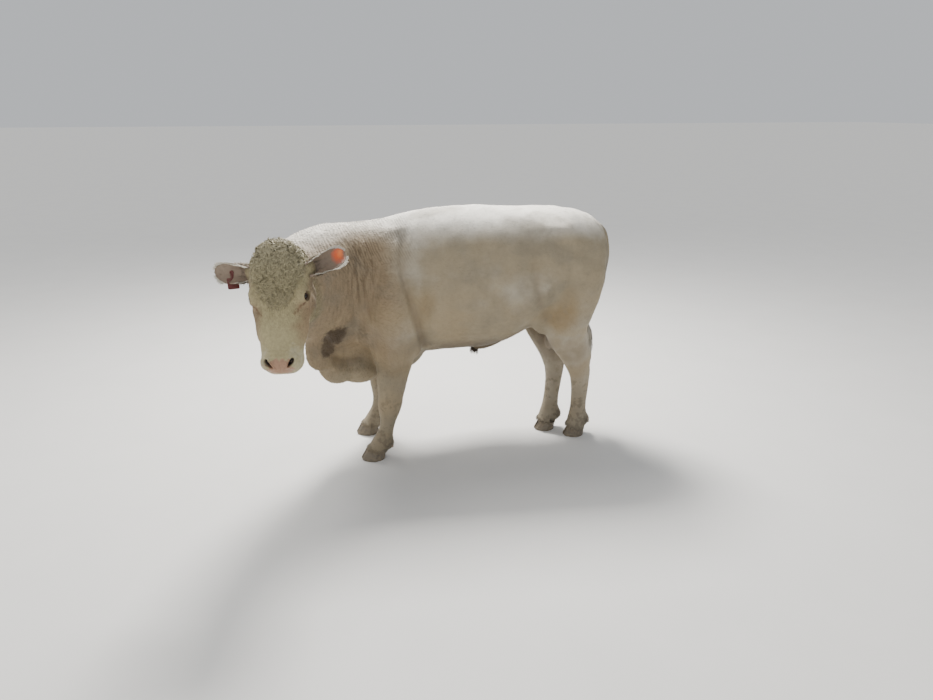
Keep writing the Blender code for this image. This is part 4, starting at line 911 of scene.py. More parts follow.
def sink_nostrils(local, normals):
    """Deep nostrils with a raised wing round each; gives back how far each place lies in one."""
    slots = [nostril_slot(local, side) for side in (1, -1)]
    inside = np.zeros(len(local))
    for side, slot in zip((1, -1), slots):
        near = np.linalg.norm(local - slot[0], axis=1) < 0.05
        share = nostril_share(local[near], slot, side)
        inwards = unit(-slot[3] * 0.9 + np.array((-0.45, -0.25 * side, 0)))
        local[near] += (1 - smooth_step((share - 0.50) / 0.55))[:, None] * inwards * NOSTRIL_DEPTH
        local[near] += (NOSTRIL_WING * bell(share, 1.35, 0.30))[:, None] * normals[near]
        inside[near] = 1 - smooth_step((share - 0.62) / 0.40)
    return inside


def mouth_height(local):
    """Height over the line where the lips meet, and how far a place lies round the mouth."""
    angle = np.arctan2(local[:, 1], local[:, 0] - MOUTH_MIDDLE)
    return local[:, 2] - MOUTH_HEIGHT + 0.014 * (1 - np.cos(angle)) ** 1.5, np.abs(angle)


def part_lips(local, normals):
    """The line of the mouth between rounded lips."""
    height, angle = mouth_height(local)
    held = (local[:, 0] > 0.30) & (np.abs(height) < 0.03)
    fade = (1 - smooth_step((angle - radians(MOUTH_SPREAD - 22)) / 0.35)) * held
    depth = LIP_DEPTH * bell(height, width=0.0022)
    depth += LIP_SWELL * bell(np.abs(height), 0.0085, 0.0055)
    local += (depth * fade)[:, None] * normals
    return 0.8 * fade * bell(height, width=0.0034)


def finer_on_face(middles):
    """Where the skin needs its smaller faces: eyes, nose and lips."""
    local = to_head(middles)
    found = (local[:, 0] > 0.40) & (local[:, 0] < 0.60)
    found &= (np.abs(local[:, 1]) < 0.12) & (np.abs(local[:, 2] + 0.08) < 0.14)
    for side in (1, -1):
        found |= np.linalg.norm(local - eye_middle(side), axis=1) < 0.050
    return found


def finest_on_face(middles):
    """The lids' own edges and the nostrils."""
    local = to_head(middles)
    found = np.zeros(len(local), dtype=bool)
    for side in (1, -1):
        found |= np.linalg.norm(local - eye_middle(side), axis=1) < 0.032
        found |= np.linalg.norm(local - np.array((0.488, 0.045 * side, -0.045)), axis=1) < 0.036
    return found


def feet():
    """Middle of each foot on the floor."""
    fore, hind = (*FORE_FOOT, 0.0), (*HIND_FOOT, 0.0)
    return {
        "fore_left": fore,
        "fore_right": right_leg_point(*fore, False),
        "hind_left": hind,
        "hind_right": right_leg_point(*hind, True),
    }


def fetlocks():
    """Where the dewclaws sit at the back of each fetlock."""
    places = []
    for knob, hind in ((FORE_KNOB, False), (HIND_KNOB, True)):
        places += [knob, right_leg_point(*knob, hind)]
    return places


def hoof_rim(places, foot):
    """Height of a hoof's slanted rim at each place."""
    return CROWN_MIDDLE - CROWN_SLOPE * (places[:, 0] - foot[0] - CROWN_BACK)


def end_at_hooves(places, normals):
    """Ends the legs on the slanted rims of the hooves, with a soft band over each rim."""
    for foot in feet().values():
        rim = hoof_rim(places, foot)
        near = (np.abs(places[:, 0] - foot[0]) < 0.12) & (np.abs(places[:, 1] - foot[1]) < 0.10) & (places[:, 2] < 0.16)
        band = HOOF_BAND * bell(places[:, 2] - rim, 0.010, 0.009)
        places[near] += band[near, None] * normals[near]
        places[near, 2] = np.maximum(places[near, 2], rim[near] - 0.003)


def waves(places, rng, count, shortest, longest):
    """Soft unevenness between about -1 and 1."""
    total = np.zeros(len(places))
    for _ in range(count):
        aim = unit(rng.normal(size=3))
        total += np.sin(places @ aim * 2 * pi / rng.uniform(shortest, longest) + rng.uniform(0, 2 * pi))
    return total / count**0.5


def right_folds():
    """The creases of the right side, mirrored from the left ones."""
    folds = []
    for path, half_width, depth in FOLDS:
        hind = path[0][0] > 0
        if max(point[2] for point in path) < 0.62:
            points = [right_leg_point(*point, hind) for point in path]
        else:
            points = [mirrored(point, (0, 0, 0))[0] for point in path]
        folds.append((points, half_width, depth))
    return folds


def skin_mesh(rng):
    """The whole skin as one closed surface, with its folds, lids, nostrils and lips."""
    skin = object_of(mesh_of(flesh_forms(), "skin"), "skin")
    fuse = skin.modifiers.new("fuse", "REMESH")
    fuse.mode = "VOXEL"
    fuse.voxel_size = SKIN_VOXEL
    with_modifiers(skin)
    mesh = skin.data
    places = vertex_places(mesh)
    smoothed(mesh, 4, np.ones(len(places)))
    smoothed(mesh, SKIN_ROUNDS - 4, body_smoothing(places))
    made_finer(mesh, lambda middles: head_share(middles) > 0.6)
    smoothed(mesh, 3, (head_share(vertex_places(mesh)) > 0.5).astype(float))
    for region in (finer_on_face, finest_on_face):
        made_finer(mesh, region)
        smoothed(mesh, 2, region(vertex_places(mesh)).astype(float))
    shape_skin(mesh, rng)
    return skin


def shape_skin(mesh, rng):
    """Moves the fused skin's vertices into its folds and openings."""
    mesh.update()
    places, normals = vertex_places(mesh), vertex_normals(mesh)
    on_head, found = head_share(places), marks(places)
    low = smooth_step((0.62 - places[:, 2]) / 0.2)
    depth = COAT_DEPTH * (1 - 0.65 * on_head) * (1 - 0.45 * low)
    places -= depth[:, None] * normals
    height = body_fold_height(places)
    height += SKIN_WAVES * waves(places, rng, 24, 0.09, 0.26) * (1 - on_head) * (1 - 0.8 * low)
    height += LEG_SWELL * smooth_step((0.52 - places[:, 2]) / 0.12)
    for knob in fetlocks():
        height += KNOB_HEIGHT * bell(egg_distance(places, knob, (0.034, 0.046, 0.034))) * (normals[:, 0] > 0)
    places += (height * (1 - on_head))[:, None] * normals
    end_at_hooves(places, normals)
    chosen = on_head > 0.3
    local = to_head(places[chosen])
    turned_normals = normals[chosen] @ HEAD_AXES
    local += swell_height(folded_left(local), FACE_SWELLS)[:, None] * turned_normals
    local += fold_height(folded_left(local), FACE_FOLDS)[:, None] * turned_normals
    # dark: painted shade inside the nostrils and along the line where the lips meet
    dark = np.zeros(len(places))
    lips = part_lips(local, turned_normals)
    dark[chosen] = np.maximum(lips, sink_nostrils(local, turned_normals))
    open_lids(local)
    places[chosen] = from_head(local)
    set_places(mesh, places)
    add_marks(mesh, {"dark": dark, **found})


def decimated(obj, triangles, group=""):
    """Thins a mesh down to about so many triangles, all taken from the named vertex group."""
    obj.data.calc_loop_triangles()
    thin = obj.modifiers.new("thin", "DECIMATE")
    thin.ratio = triangles / len(obj.data.loop_triangles)
    thin.vertex_group = group
    thin.use_collapse_triangulate = True
    with_modifiers(obj)


def thinned(skin):
    """Fewer triangles where the skin is smooth, and all of them kept round eyes, nose and lips."""
    group = skin.vertex_groups.new(name="plain")
    group.add(np.nonzero(~finer_on_face(vertex_places(skin.data)))[0].tolist(), 1.0, "REPLACE")
    decimated(skin, SKIN_TRIANGLES, "plain")
    skin.vertex_groups.clear()


class Ground:
    """The skin that hair grows from: weighted places on it, their normals and their spot on an unwrap."""

    def __init__(self, mesh):
        mesh.calc_loop_triangles()
        corners = np.empty(len(mesh.loop_triangles) * 3, dtype=np.int64)
        mesh.loop_triangles.foreach_get("vertices", corners)
        self.triangles = corners.reshape(-1, 3)
        self.places, self.normals = vertex_places(mesh), vertex_normals(mesh)
        p = self.places[self.triangles]
        self.middles = p.mean(axis=1)
        self.areas = np.linalg.norm(np.cross(p[:, 1] - p[:, 0], p[:, 2] - p[:, 0]), axis=1) / 2
        self.unwrap(mesh)

    def unwrap(self, mesh):
        """Unwraps a coarse copy of the skin by its own shape."""
        coarse = object_of(mesh.copy(), "coarse")
        decimated(coarse, UNWRAP_TRIANGLES)
        bpy.ops.object.select_all(action="DESELECT")
        coarse.select_set(True)
        bpy.context.view_layer.objects.active = coarse
        bpy.ops.object.mode_set(mode="EDIT")
        bpy.ops.mesh.select_all(action="SELECT")
        bpy.ops.uv.smart_project(angle_limit=radians(66), island_margin=0.002)
        bpy.ops.object.mode_set(mode="OBJECT")
        data = coarse.data
        spots = np.empty(len(data.loops) * 2)
        data.uv_layers.active.uv.foreach_get("vector", spots)
        faces = np.empty(len(data.loops), dtype=np.int64)
        data.loops.foreach_get("vertex_index", faces)
        self.coarse_faces = faces.reshape(-1, 3)
        self.coarse_places = vertex_places(data)
        self.coarse_spots = spots.reshape(-1, 3, 2)
        self.tree = BVHTree.FromPolygons(self.coarse_places.tolist(), self.coarse_faces.tolist())
        bpy.data.objects.remove(coarse)

    def roots(self, rng, count, density):
        """Spread places, denser where density of the places is higher."""
        weights = np.cumsum(self.areas * density(self.middles))
        picks = (np.arange(count) + rng.random(count)) / count * weights[-1]
        chosen = np.searchsorted(weights, picks)
        a, b = rng.random(count), rng.random(count)
        over = a + b > 1
        a[over], b[over] = 1 - a[over], 1 - b[over]
        shares = np.stack([1 - a - b, a, b], axis=1)[:, :, None]
        corner = self.triangles[chosen]
        return (self.places[corner] * shares).sum(axis=1), unit((self.normals[corner] * shares).sum(axis=1))

    def spots(self, places):
        """Where places lie on the unwrap."""
        nearest = [self.tree.find_nearest(Vector(place)) for place in places]
        index = np.array([found[2] for found in nearest])
        hits = np.array([found[0][:] for found in nearest])
        p = self.coarse_places[self.coarse_faces[index]]
        first, second, third = p[:, 1] - p[:, 0], p[:, 2] - p[:, 0], hits - p[:, 0]
        d00, d01, d11 = (first * first).sum(1), (first * second).sum(1), (second * second).sum(1)
        d20, d21 = (third * first).sum(1), (third * second).sum(1)
        scale = np.maximum(d00 * d11 - d01 * d01, 1e-18)
        b = (d11 * d20 - d01 * d21) / scale
        c = (d00 * d21 - d01 * d20) / scale
        shares = np.clip(np.stack([1 - b - c, b, c], axis=1), 0, 1)[:, :, None]
        return (self.coarse_spots[index] * shares).sum(axis=1)


def strand_points(root, normal, lie, length, width, lift, curl, wave, rows, phase=0.0, lean=0.0):
    """Flat tapered tufts that lie along the skin, rise by lift and turn by curl: (count, rows, 2, 3)."""
    count = len(root)
    normal = unit(normal)
    lie = unit(lie - normal * (lie * normal).sum(axis=1, keepdims=True))
    across = np.cross(normal, lie)
    length, width, lift, curl, wave, phase, lean = (
        np.broadcast_to(np.asarray(value, dtype=float), (count,))
        for value in (length, width, lift, curl, wave, phase, lean)
    )
    points = np.empty((count, rows, 2, 3))
    place = root.copy()
    for row in range(rows):
        share = row / (rows - 1)
        turn = curl * share**1.3 + wave * np.sin(phase + 9.0 * share)
        heading = lie * np.cos(turn)[:, None] + across * np.sin(turn)[:, None]
        side = across * np.cos(turn)[:, None] - lie * np.sin(turn)[:, None]
        side = unit(side + normal * lean[:, None])
        if row:
            place = place + heading * (length / (rows - 1))[:, None]
        rise = TUFT_SUNK + lift * np.sin(pi * min(share * 0.72, 1.0)) ** 0.8
        fullness = (0.60 + 0.40 * sin(pi * min(share * 1.4, 1.0))) * (1 - share**2.2) + 0.06
        for column, edge in enumerate((-1.0, 1.0)):
            offset = side * (width / 2 * fullness * edge)[:, None]
            points[:, row, column] = place + normal * rise[:, None] + offset
    return points


def hair_piece(name, points, spots, material, rng):
    """One mesh of many tufts, each with its patch on the unwrap and its own strand value."""
    count, rows, columns, _ = points.shape
    grid = np.arange(rows * columns).reshape(rows, columns)
    quads = np.stack([grid[:-1, :-1], grid[:-1, 1:], grid[1:, 1:], grid[1:, :-1]], axis=-1).reshape(-1, 4)
    faces = (quads[None] + np.arange(count)[:, None, None] * rows * columns).reshape(-1)
    mesh = bpy.data.meshes.new(name)
    mesh.vertices.add(count * rows * columns)
    mesh.loops.add(len(faces))
    mesh.polygons.add(len(faces) // 4)
    mesh.vertices.foreach_set("co", (points + np.array(SHIFT)).reshape(-1))
    mesh.polygons.foreach_set("loop_start", np.arange(0, len(faces), 4, dtype=np.int32))
    mesh.polygons.foreach_set("loop_total", np.full(len(faces) // 4, 4, dtype=np.int32))
    mesh.loops.foreach_set("vertex_index", faces.astype(np.int32))
    across, along = np.meshgrid(np.linspace(-0.5, 0.5, columns), np.linspace(0, 1, rows))
    patch = np.stack([across, along], axis=-1).reshape(-1, 2) * PATCH
    each = (spots[:, None, :] + patch[None]).reshape(-1, 2)
    layer = mesh.uv_layers.new(name="OFBake")
    layer.uv.foreach_set("vector", each[faces].reshape(-1))
    add_marks(mesh, {"strand": np.repeat(rng.random(count), rows * columns)})
    add_marks(mesh, {"tip": np.tile(np.repeat(np.linspace(0, 1, rows), columns), count)})
    found = marks(points[:, 0].mean(axis=1))
    add_marks(mesh, {key: np.repeat(value, rows * columns) for key, value in found.items()})
    mesh.update(calc_edges=True)
    mesh.validate()
    mesh.shade_smooth()
    mesh.materials.append(material)
    return object_of(mesh, name)


def hair_pieces(ground, name, root, points, material, rng):
    """Splits many tufts over pieces of fewer than 200,000 triangles."""
    _, rows, columns, _ = points.shape
    most = PIECE_TRIANGLES // (2 * (rows - 1) * (columns - 1))
    spots = ground.spots(root)
    made = []
    for part, start in enumerate(range(0, len(points), most)):
        some = slice(start, start + most)
        made.append(hair_piece(name + "_" + str(part + 1), points[some], spots[some], material, rng))
    return made


def grown(ground, name, root, normal, lie, size, curl, wave, lean, rows, material, rng):
    """Tufts of one kind. size is length, width and rise; curl is a turn for each, or how far turns spread."""
    count = len(root)
    if np.isscalar(curl):
        curl = rng.normal(0, curl, count)
    phase, lean = rng.uniform(0, 6.3, count), rng.normal(0, lean, count)
    points = strand_points(root, normal, lie, *size, curl, wave, rows, phase, lean)
    points[..., 2] = np.maximum(points[..., 2], HAIR_OVER_FLOOR)
    return hair_pieces(ground, name, root, points, material, rng)


def comb(places):
    """Place across the combed rows of the crest's hair."""
    return places @ np.array(COMB_AIM) + 0.004 * waves(places, np.random.default_rng(8), 8, 0.10, 0.25)


def lie_on_body(places, rng):
    """Direction in which the coat lies on neck, trunk and legs."""
    x, y, z = places.T
    none, full = np.zeros(len(x)), np.ones(len(x))
    side = np.sign(y - mid_line(x))
    lie = np.stack([full, 0.25 * side, np.full(len(x), -0.38)], axis=1)
    on_leg = smooth_step((0.72 - z) / 0.16) * ((x < -0.35) | (x > 0.30))
    for towards, share in (
        (np.stack([full, 0.35 * side, none], axis=1), smooth_step((z - 1.26) / 0.1)),
        (np.array((0.55, 0.55, -0.60)), smooth_step((-0.50 - x) / 0.25)),
        (np.array((0.45, 0.0, -0.9)), smooth_step((x - 0.42) / 0.25)),
        (np.array((0.16, 0.0, -1.0)), on_leg),
    ):
        lie = blended(lie, towards, share[:, None])
    sway = 0.30 * waves(places, np.random.default_rng(3), 12, 0.10, 0.30)
    lie += np.stack([sway * 0.3, none, sway * 0.7], axis=1)
    return lie + rng.normal(0, 0.10, lie.shape)


def lie_on_head(places, rng):
    """Hair runs away from the whorl between the eyes: up to the poll, down the nose and back over the cheeks."""
    local = to_head(places)
    x, y, z = local.T
    down = np.clip((x - 0.17) / 0.05, -1, 1)
    lie = np.stack([down, 7.0 * y * (1 - 0.6 * (down > 0)), np.full(len(x), -0.35)], axis=1)
    lie = blended(lie, np.array((-0.75, 0.0, -0.65)), smooth_step((-0.075 - z) / 0.05)[:, None])
    return (lie + rng.normal(0, 0.12, lie.shape)) @ HEAD_AXES.T


def on_bare_skin(places):
    """Where the face carries no hair: nose pad, nostrils, lips' line and the slit between the lids."""
    local = to_head(places)
    pad = egg_distance(local, (0.500, 0, -0.058), (0.036, 0.060, 0.044)) < 1
    height, _ = mouth_height(local)
    lips = (local[:, 0] > 0.36) & (np.abs(height) < 0.004)
    bare = pad | lips
    for side in (1, -1):
        centre, along, up, out = eye_frame(side)
        offset = local - centre
        share = lid_share(offset @ along, offset @ up)
        bare |= (share < 1.35) & (offset @ out > 0) & (np.linalg.norm(offset, axis=1) < 0.045)
    return bare


def in_curl_patch(local):
    """Whether places on the head, in the head's own frame, carry curls."""
    half = np.interp(local[:, 0], CURL_STEPS, CURL_HALF)
    return (local[:, 0] < 0.262) & (np.abs(local[:, 1]) < half) & (local[:, 2] > -0.085)


def curl_depth(local):
    """1 in the middle of the curly patch, falling to 0 at its border."""
    half = np.interp(local[:, 0], CURL_STEPS, CURL_EDGE)
    inwards = 1 - (np.abs(local[:, 1]) / half) ** 2
    return smooth_step(inwards / 0.75) * smooth_step((0.275 - local[:, 0]) / 0.09)


def off_head(middles):
    return (head_share(middles) < 0.5) * (middles[:, 2] > 0.060)


def trunk_coat(ground, material, rng):
    """Short tufts over trunk and legs."""

    def density(middles):
        neck = smooth_step((-0.30 - middles[:, 0]) / 0.34) * (middles[:, 2] > 0.45)
        low = smooth_step((0.60 - middles[:, 2]) / 0.15)
        return off_head(middles) * (1 - 0.7 * neck) * (1 + 1.4 * low)

    root, normal = ground.roots(rng, BODY_TUFTS, density)
    low = smooth_step((0.62 - root[:, 2]) / 0.2)
    size = (1 - 0.30 * low) * rng.uniform(0.7, 1.3, len(root))
    belly = smooth_step((-normal[:, 2] - 0.55) / 0.3) * (1 - low)
    length, width, rise = (each * size for each in BODY_TUFT)
    sizes = (length * (1 + 0.8 * belly), width, rise * (1 + belly))
    lie = lie_on_body(root, rng)
    return grown(ground, "coat_body", root, normal, lie, sizes, 0.20, 0.05, 0.10, 4, material, rng)


def neck_coat(ground, material, rng):
    """Coarser and wavier tufts over neck and shoulder, in combed rows on the crest."""

    def density(middles):
        neck = smooth_step((-0.28 - middles[:, 0]) / 0.36) * smooth_step((middles[:, 2] - 0.42) / 0.1)
        return off_head(middles) * neck

    root, normal = ground.roots(rng, NECK_TUFTS, density)
    size = rng.uniform(0.7, 1.3, len(root))
    row = np.sin(2 * pi * comb(root) / COMB_STEP)
    long = 0.62 + 0.38 * smooth_step((-0.35 - root[:, 0]) / 0.25)
    crest = smooth_step((root[:, 2] - 1.02) / 0.16)
    length, width, rise = (each * size * long for each in NECK_TUFT)
    lie, sizes = lie_on_body(root, rng), (length, width, rise * (1 + 0.8 * crest * row))
    return grown(ground, "coat_neck", root, normal, lie, sizes, 0.25, 0.10, 0.16, 5, material, rng)


def feet_coat(ground, material, rng):
    """Rougher hair over the rims of the hooves and round the dewclaws."""

    def density(middles):
        around = np.zeros(len(middles))
        for foot in feet().values():
            near = (np.abs(middles[:, 0] - foot[0]) < 0.13) & (np.abs(middles[:, 1] - foot[1]) < 0.10)
            around += near * bell(middles[:, 2] - hoof_rim(middles, foot), 0.010, 0.012)
        for place in fetlocks():
            near = middles[:, 0] > place[0] - 0.035
            around += 1.2 * bell(egg_distance(middles, place, (0.030, 0.050, 0.040))) * near
        return around

    root, normal = ground.roots(rng, FOOT_TUFTS, density)
    size = rng.uniform(0.6, 1.3, len(root))
    lie = np.array((0.10, 0.0, -1.0)) + normal * 0.15 + rng.normal(0, 0.16, root.shape)
    sizes = [each * size for each in FOOT_TUFT]
    return grown(ground, "coat_feet", root, normal, lie, sizes, 0.4, 0.15, 0.25, 5, material, rng)


def face_coat(ground, material, rng):
    """Short hair of the face, finer down the nose and round the lids, and longer on the jaw."""

    def density(middles):
        return (head_share(middles) > 0.35) & ~on_bare_skin(middles)

    root, normal = ground.roots(rng, FACE_TUFTS, density)
    local = to_head(root)
    fine = smooth_step((local[:, 0] - 0.22) / 0.2)
    lids = np.ones(len(root))
    for side in (1, -1):
        from_eye = np.linalg.norm(local - eye_middle(side), axis=1)
        lids = np.minimum(lids, 0.45 + 0.55 * smooth_step((from_eye - 0.028) / 0.03))
    jaw = smooth_step((-0.12 - local[:, 2]) / 0.08)
    size = rng.uniform(0.75, 1.25, len(root)) * (1 - 0.45 * fine) * lids * (1 + 0.5 * jaw)
    lie, sizes = lie_on_head(root, rng), [each * size for each in FACE_TUFT]
    return grown(ground, "coat_face", root, normal, lie, sizes, 0.3, 0.1, 0.14, 4, material, rng)


def poll_curls(ground, material, rng):
    """Woolly curls of poll and forehead: locks that wind round the middles of close-set clumps."""

    def density(middles):
        return (head_share(middles) > 0.4) & in_curl_patch(to_head(middles)) & ~on_bare_skin(middles)

    def lock_density(middles):
        return density(middles) * (0.12 + curl_depth(to_head(middles)))

    middle, _ = ground.roots(rng, CURL_CLUMPS, density)
    root, normal = ground.roots(rng, CURL_LOCKS, lock_density)
    count = len(root)
    offset = root[:, None, :] - middle[None]
    nearest = np.argmin((offset**2).sum(axis=2), axis=1)
    offset = offset[np.arange(count), nearest]
    hand = np.where(np.random.default_rng(5).random(len(middle)) < 0.5, 1.0, -1.0)[nearest]
    local = to_head(root)
    deep = curl_depth(local)
    around = unit(np.cross(normal, offset) * hand[:, None])
    flow = np.stack([np.full(count, 0.5), local[:, 1] * 5.0, np.full(count, -0.2)], axis=1) @ HEAD_AXES.T
    lie = around * (0.4 + 0.8 * deep[:, None]) + flow * (1.3 - 0.8 * deep[:, None]) + rng.normal(0, 0.25, root.shape)
    distance = np.linalg.norm(offset, axis=1)
    rise = (0.0170 - 0.80 * np.minimum(distance, 0.016)) * (0.25 + 0.75 * deep) * rng.uniform(0.7, 1.25, count)
    size = rng.uniform(0.7, 1.3, count) * (0.50 + 0.50 * deep)
    sizes = (CURL_LENGTH * size, CURL_WIDTH * size, rise)
    curl = hand * rng.uniform(1.6, 3.8, count) * (0.3 + 0.7 * deep)
    return grown(ground, "curls_poll", root, normal, lie, sizes, curl, 0.2, 0.45, 8, material, rng)


def ear_axes(side):
    ahead, normal = EAR_AIMS[side]
    ahead = Vector(ahead).normalized()
    normal = Vector(normal)
    normal = (normal - ahead * normal.dot(ahead)).normalized()
    return ahead, normal, normal.cross(ahead)


def ear_point(side, u, v, lift=0.0):
    """A point of the ear's middle surface: u from root to tip, v across from -1 to 1."""
    half = float(np.interp(u, EAR_STEPS, EAR_HALF))
    curl = radians(float(np.interp(u, EAR_STEPS, EAR_CURL)))
    radius = half / curl
    ahead, normal, across = ear_axes(side)
    bend = EAR_BEND * u * u * EAR_LENGTH
    centre = Vector((EAR_ROOT[0], EAR_ROOT[1] * side, EAR_ROOT[2])) + ahead * (u * EAR_LENGTH - EAR_SUNK)
    angle = v * curl
    rise = (radius - lift) * (1 - cos(angle)) + lift
    return HEAD_PLACE @ (centre + across * (radius - lift) * sin(angle) + normal * (rise + bend))


def ear_piece(side, name, material):
    """A cupped ear with soft ridges inside and a thin rim."""
    bm = bmesh.new()
    bmesh.ops.create_grid(bm, x_segments=44, y_segments=34, size=1.0)
    for vert in bm.verts:
        u, v = (vert.co.x + 1) / 2, vert.co.y
        ridge = EAR_RIDGES * cos(v * 3.2 * pi) * smooth_step((0.75 - u) / 0.5) * (1 - abs(v) ** 3)
        vert.co = ear_point(side, u, v, ridge)
    bmesh.ops.recalc_face_normals(bm, faces=bm.faces)
    ear = object_of(mesh_of(bm, name), name)
    wall = ear.modifiers.new("wall", "SOLIDIFY")
    wall.thickness = EAR_THICK
    wall.offset = 0.0
    wall.use_rim = True
    with_modifiers(ear)
    return dressed(ear, material)


def ear_hair(ground, side, name, materials, rng):
    """Long pale hair from the rims and the inside of an ear, and short hair over its back."""
    outwards = np.array(HEAD_PLACE.to_3x3() @ ear_axes(side)[1])
    made = []
    for label, count, lift, *size in EAR_TUFTS:
        u = rng.uniform(0.06, 0.97, count)
        v = rng.uniform(-0.97, 0.97, count)
        if label == "inner":
            v = np.sign(v) * rng.uniform(0.15, 0.97, count)
        if label == "root":
            u = rng.uniform(0.04, 0.24, count)
        if label == "rim":
            v = np.sign(v) * rng.uniform(0.96, 1.0, count)
        if side < 0 and lift >= 0:  # the tag stays in sight
            clear = (v < 0.35) | (u < 0.36) | (u > 0.70)
            u, v = u[clear], v[clear]
            count = len(u)
        root = np.array([ear_point(side, a, b, lift * EAR_THICK)[:] for a, b in zip(u, v)])
        inner = np.array([ear_point(side, a, b * 0.8, 0.0)[:] for a, b in zip(u, v)])
        tipwards = np.array([ear_point(side, min(a + 0.04, 1.0), b, 0.0)[:] for a, b in zip(u, v)])
        tipwards, edge = unit(tipwards - root), unit(root - inner)
        normals = unit(np.cross(tipwards, edge))
        facing = np.sign((normals * outwards).sum(axis=1))[:, None]
        normals = normals * facing * (1 if lift >= 0 else -1)
        along, over, stray = {"inner": (0.7, -0.5, 0.25), "rim": (0.9, 0.8, 0.2)}.get(label, (1.0, 0.15, 0.12))
        lie = tipwards * along + edge * over + rng.normal(0, stray, root.shape)
        shorter = rng.uniform(0.7, 1.25, count) * np.where(u > 0.85, 0.7, 1.0)
        sizes, material = [each * shorter for each in size], materials[label == "rim"]
        made += grown(ground, name + "_" + label, root, normals, lie, sizes, 0.4, 0.25, 0.4, 6, material, rng)
    return made


def hanging_hair(ground, name, rng, top, bottom, spread, count, length, width, material):
    """Locks that hang round the end of a tail or sheath, longer towards its tip."""
    share = rng.random(count)
    angle = rng.uniform(0, 2 * pi, count)
    out = np.stack([np.cos(angle), np.sin(angle), np.zeros(count)], axis=1)
    root = np.array(top) + (np.array(bottom) - np.array(top)) * share[:, None]
    root = root + out * 0.009 * (1 - 0.5 * share[:, None])
    reach = length * rng.uniform(0.62, 1.12, count) * (0.78 + 0.3 * share)
    reach_out = spread * np.sqrt(rng.random(count))
    steps = np.linspace(0, 1, 12)[None, :, None]
    belly = np.sin(pi * np.minimum(steps * 0.72 + 0.06, 1))
    sway = np.stack([rng.normal(0, 0.006, count), rng.normal(0, 0.006, count), np.zeros(count)], axis=1)
    phase = rng.uniform(0, 6.3, count)[:, None, None]
    side = np.stack([-out[:, 1], out[:, 0], np.zeros(count)], axis=1)
    path = root[:, None] + out[:, None] * reach_out[:, None, None] * belly + sway[:, None] * steps
    path = path + side[:, None] * 0.0035 * np.sin(phase + 11 * steps) * steps
    path = path - np.array((0, 0, 1.0)) * reach[:, None, None] * steps
    fullness = (0.5 + 0.5 * np.sin(pi * np.minimum(steps * 1.3, 1.0))) * (1 - steps**2.6) + 0.05
    half = width / 2 * rng.uniform(0.6, 1.3, count)[:, None, None] * fullness
    across, ridge = side[:, None] * half, out[:, None] * half * 0.5
    points = np.stack([path + across * at + ridge * (1 - abs(at)) for at in (-1, 0, 1)], axis=2)
    return hair_pieces(ground, name, root, points, material, rng)


def eyeball(side, name, material):
    """A full round eyeball with a slight swell of the cornea, its pole along the line of sight."""
    centre, _, _, out = eye_frame(side)
    bm = bmesh.new()
    bmesh.ops.create_uvsphere(bm, u_segments=48, v_segments=32, radius=EYE_RADIUS)
    for vert in bm.verts:
        swell = smooth_step((vert.co.z / EYE_RADIUS - 0.55) / 0.4)
        vert.co *= 1 + EYE_SWELL * float(swell)
    look = Vector(out).to_track_quat("Z", "X").to_matrix().to_4x4()
    bmesh.ops.transform(bm, matrix=HEAD_PLACE @ Matrix.Translation(Vector(centre)) @ look, verts=bm.verts)
    return dressed(object_of(mesh_of(bm, name), name), material)


def lid_rim(side, name, material):
    """The moist rim of the lids, a thin band along the almond opening."""
    centre, along, up, out = eye_frame(side)
    rings = []
    for i in range(64):
        angle = 2 * pi * i / 64
        a = LID_HALF_LENGTH * cos(angle)
        b = LID_HALF_HEIGHT * sin(angle) * abs(sin(angle)) ** 0.4
        flat = a * a + b * b
        c = max((EYE_RADIUS + 0.0012) ** 2 - flat, 0.0) ** 0.5
        middle = np.array(centre) + along * a + up * b + out * c
        outwards = unit(along * a + up * b)
        ring = []
        for turn in (2 * pi * k / 8 for k in range(8)):
            point = middle + outwards * (LID_RIM_WIDTH * cos(turn) + 0.0004) + out * LID_RIM_HEIGHT * sin(turn)
            ring.append(HEAD_PLACE @ Vector(point))
        rings.append(ring)
    bm = bmesh.new()
    add_loft(bm, rings, closed=True)
    bmesh.ops.recalc_face_normals(bm, faces=bm.faces)
    return dressed(object_of(mesh_of(bm, name), name), material)


def lashes(ground, side, name, material, rng):
    """Eyelashes along the upper lid, and fewer along the lower one."""
    centre, along, up, out = eye_frame(side)
    count = LASHES
    upper = np.arange(count) < UPPER_LASHES
    a = rng.uniform(-0.92, 0.92, count) * LID_HALF_LENGTH
    b = LID_HALF_HEIGHT * (1 - (a / LID_HALF_LENGTH) ** 2) ** 0.7 * np.where(upper, 1, -1)
    c = np.sqrt(np.maximum((EYE_RADIUS + 0.003) ** 2 - a * a - b * b, 0))
    local = centre + a[:, None] * along + b[:, None] * up + c[:, None] * out
    lift = out + up * np.where(upper, 0.55, -0.7)[:, None] + along * (a / 0.03)[:, None]
    lift = lift + rng.normal(0, 0.12, local.shape)
    root, lie = from_head(local), lift @ HEAD_AXES.T
    normal = np.where(upper, 1.0, -1.0)[:, None] * (up @ HEAD_AXES.T) + rng.normal(0, 0.05, local.shape)
    length = np.where(upper, 0.012, 0.006) * rng.uniform(0.7, 1.2, count)
    points = strand_points(root, normal, lie, length, 0.0007, 0.003, 0.0, 0.1, 6)
    return hair_pieces(ground, name, root, points, material, rng)


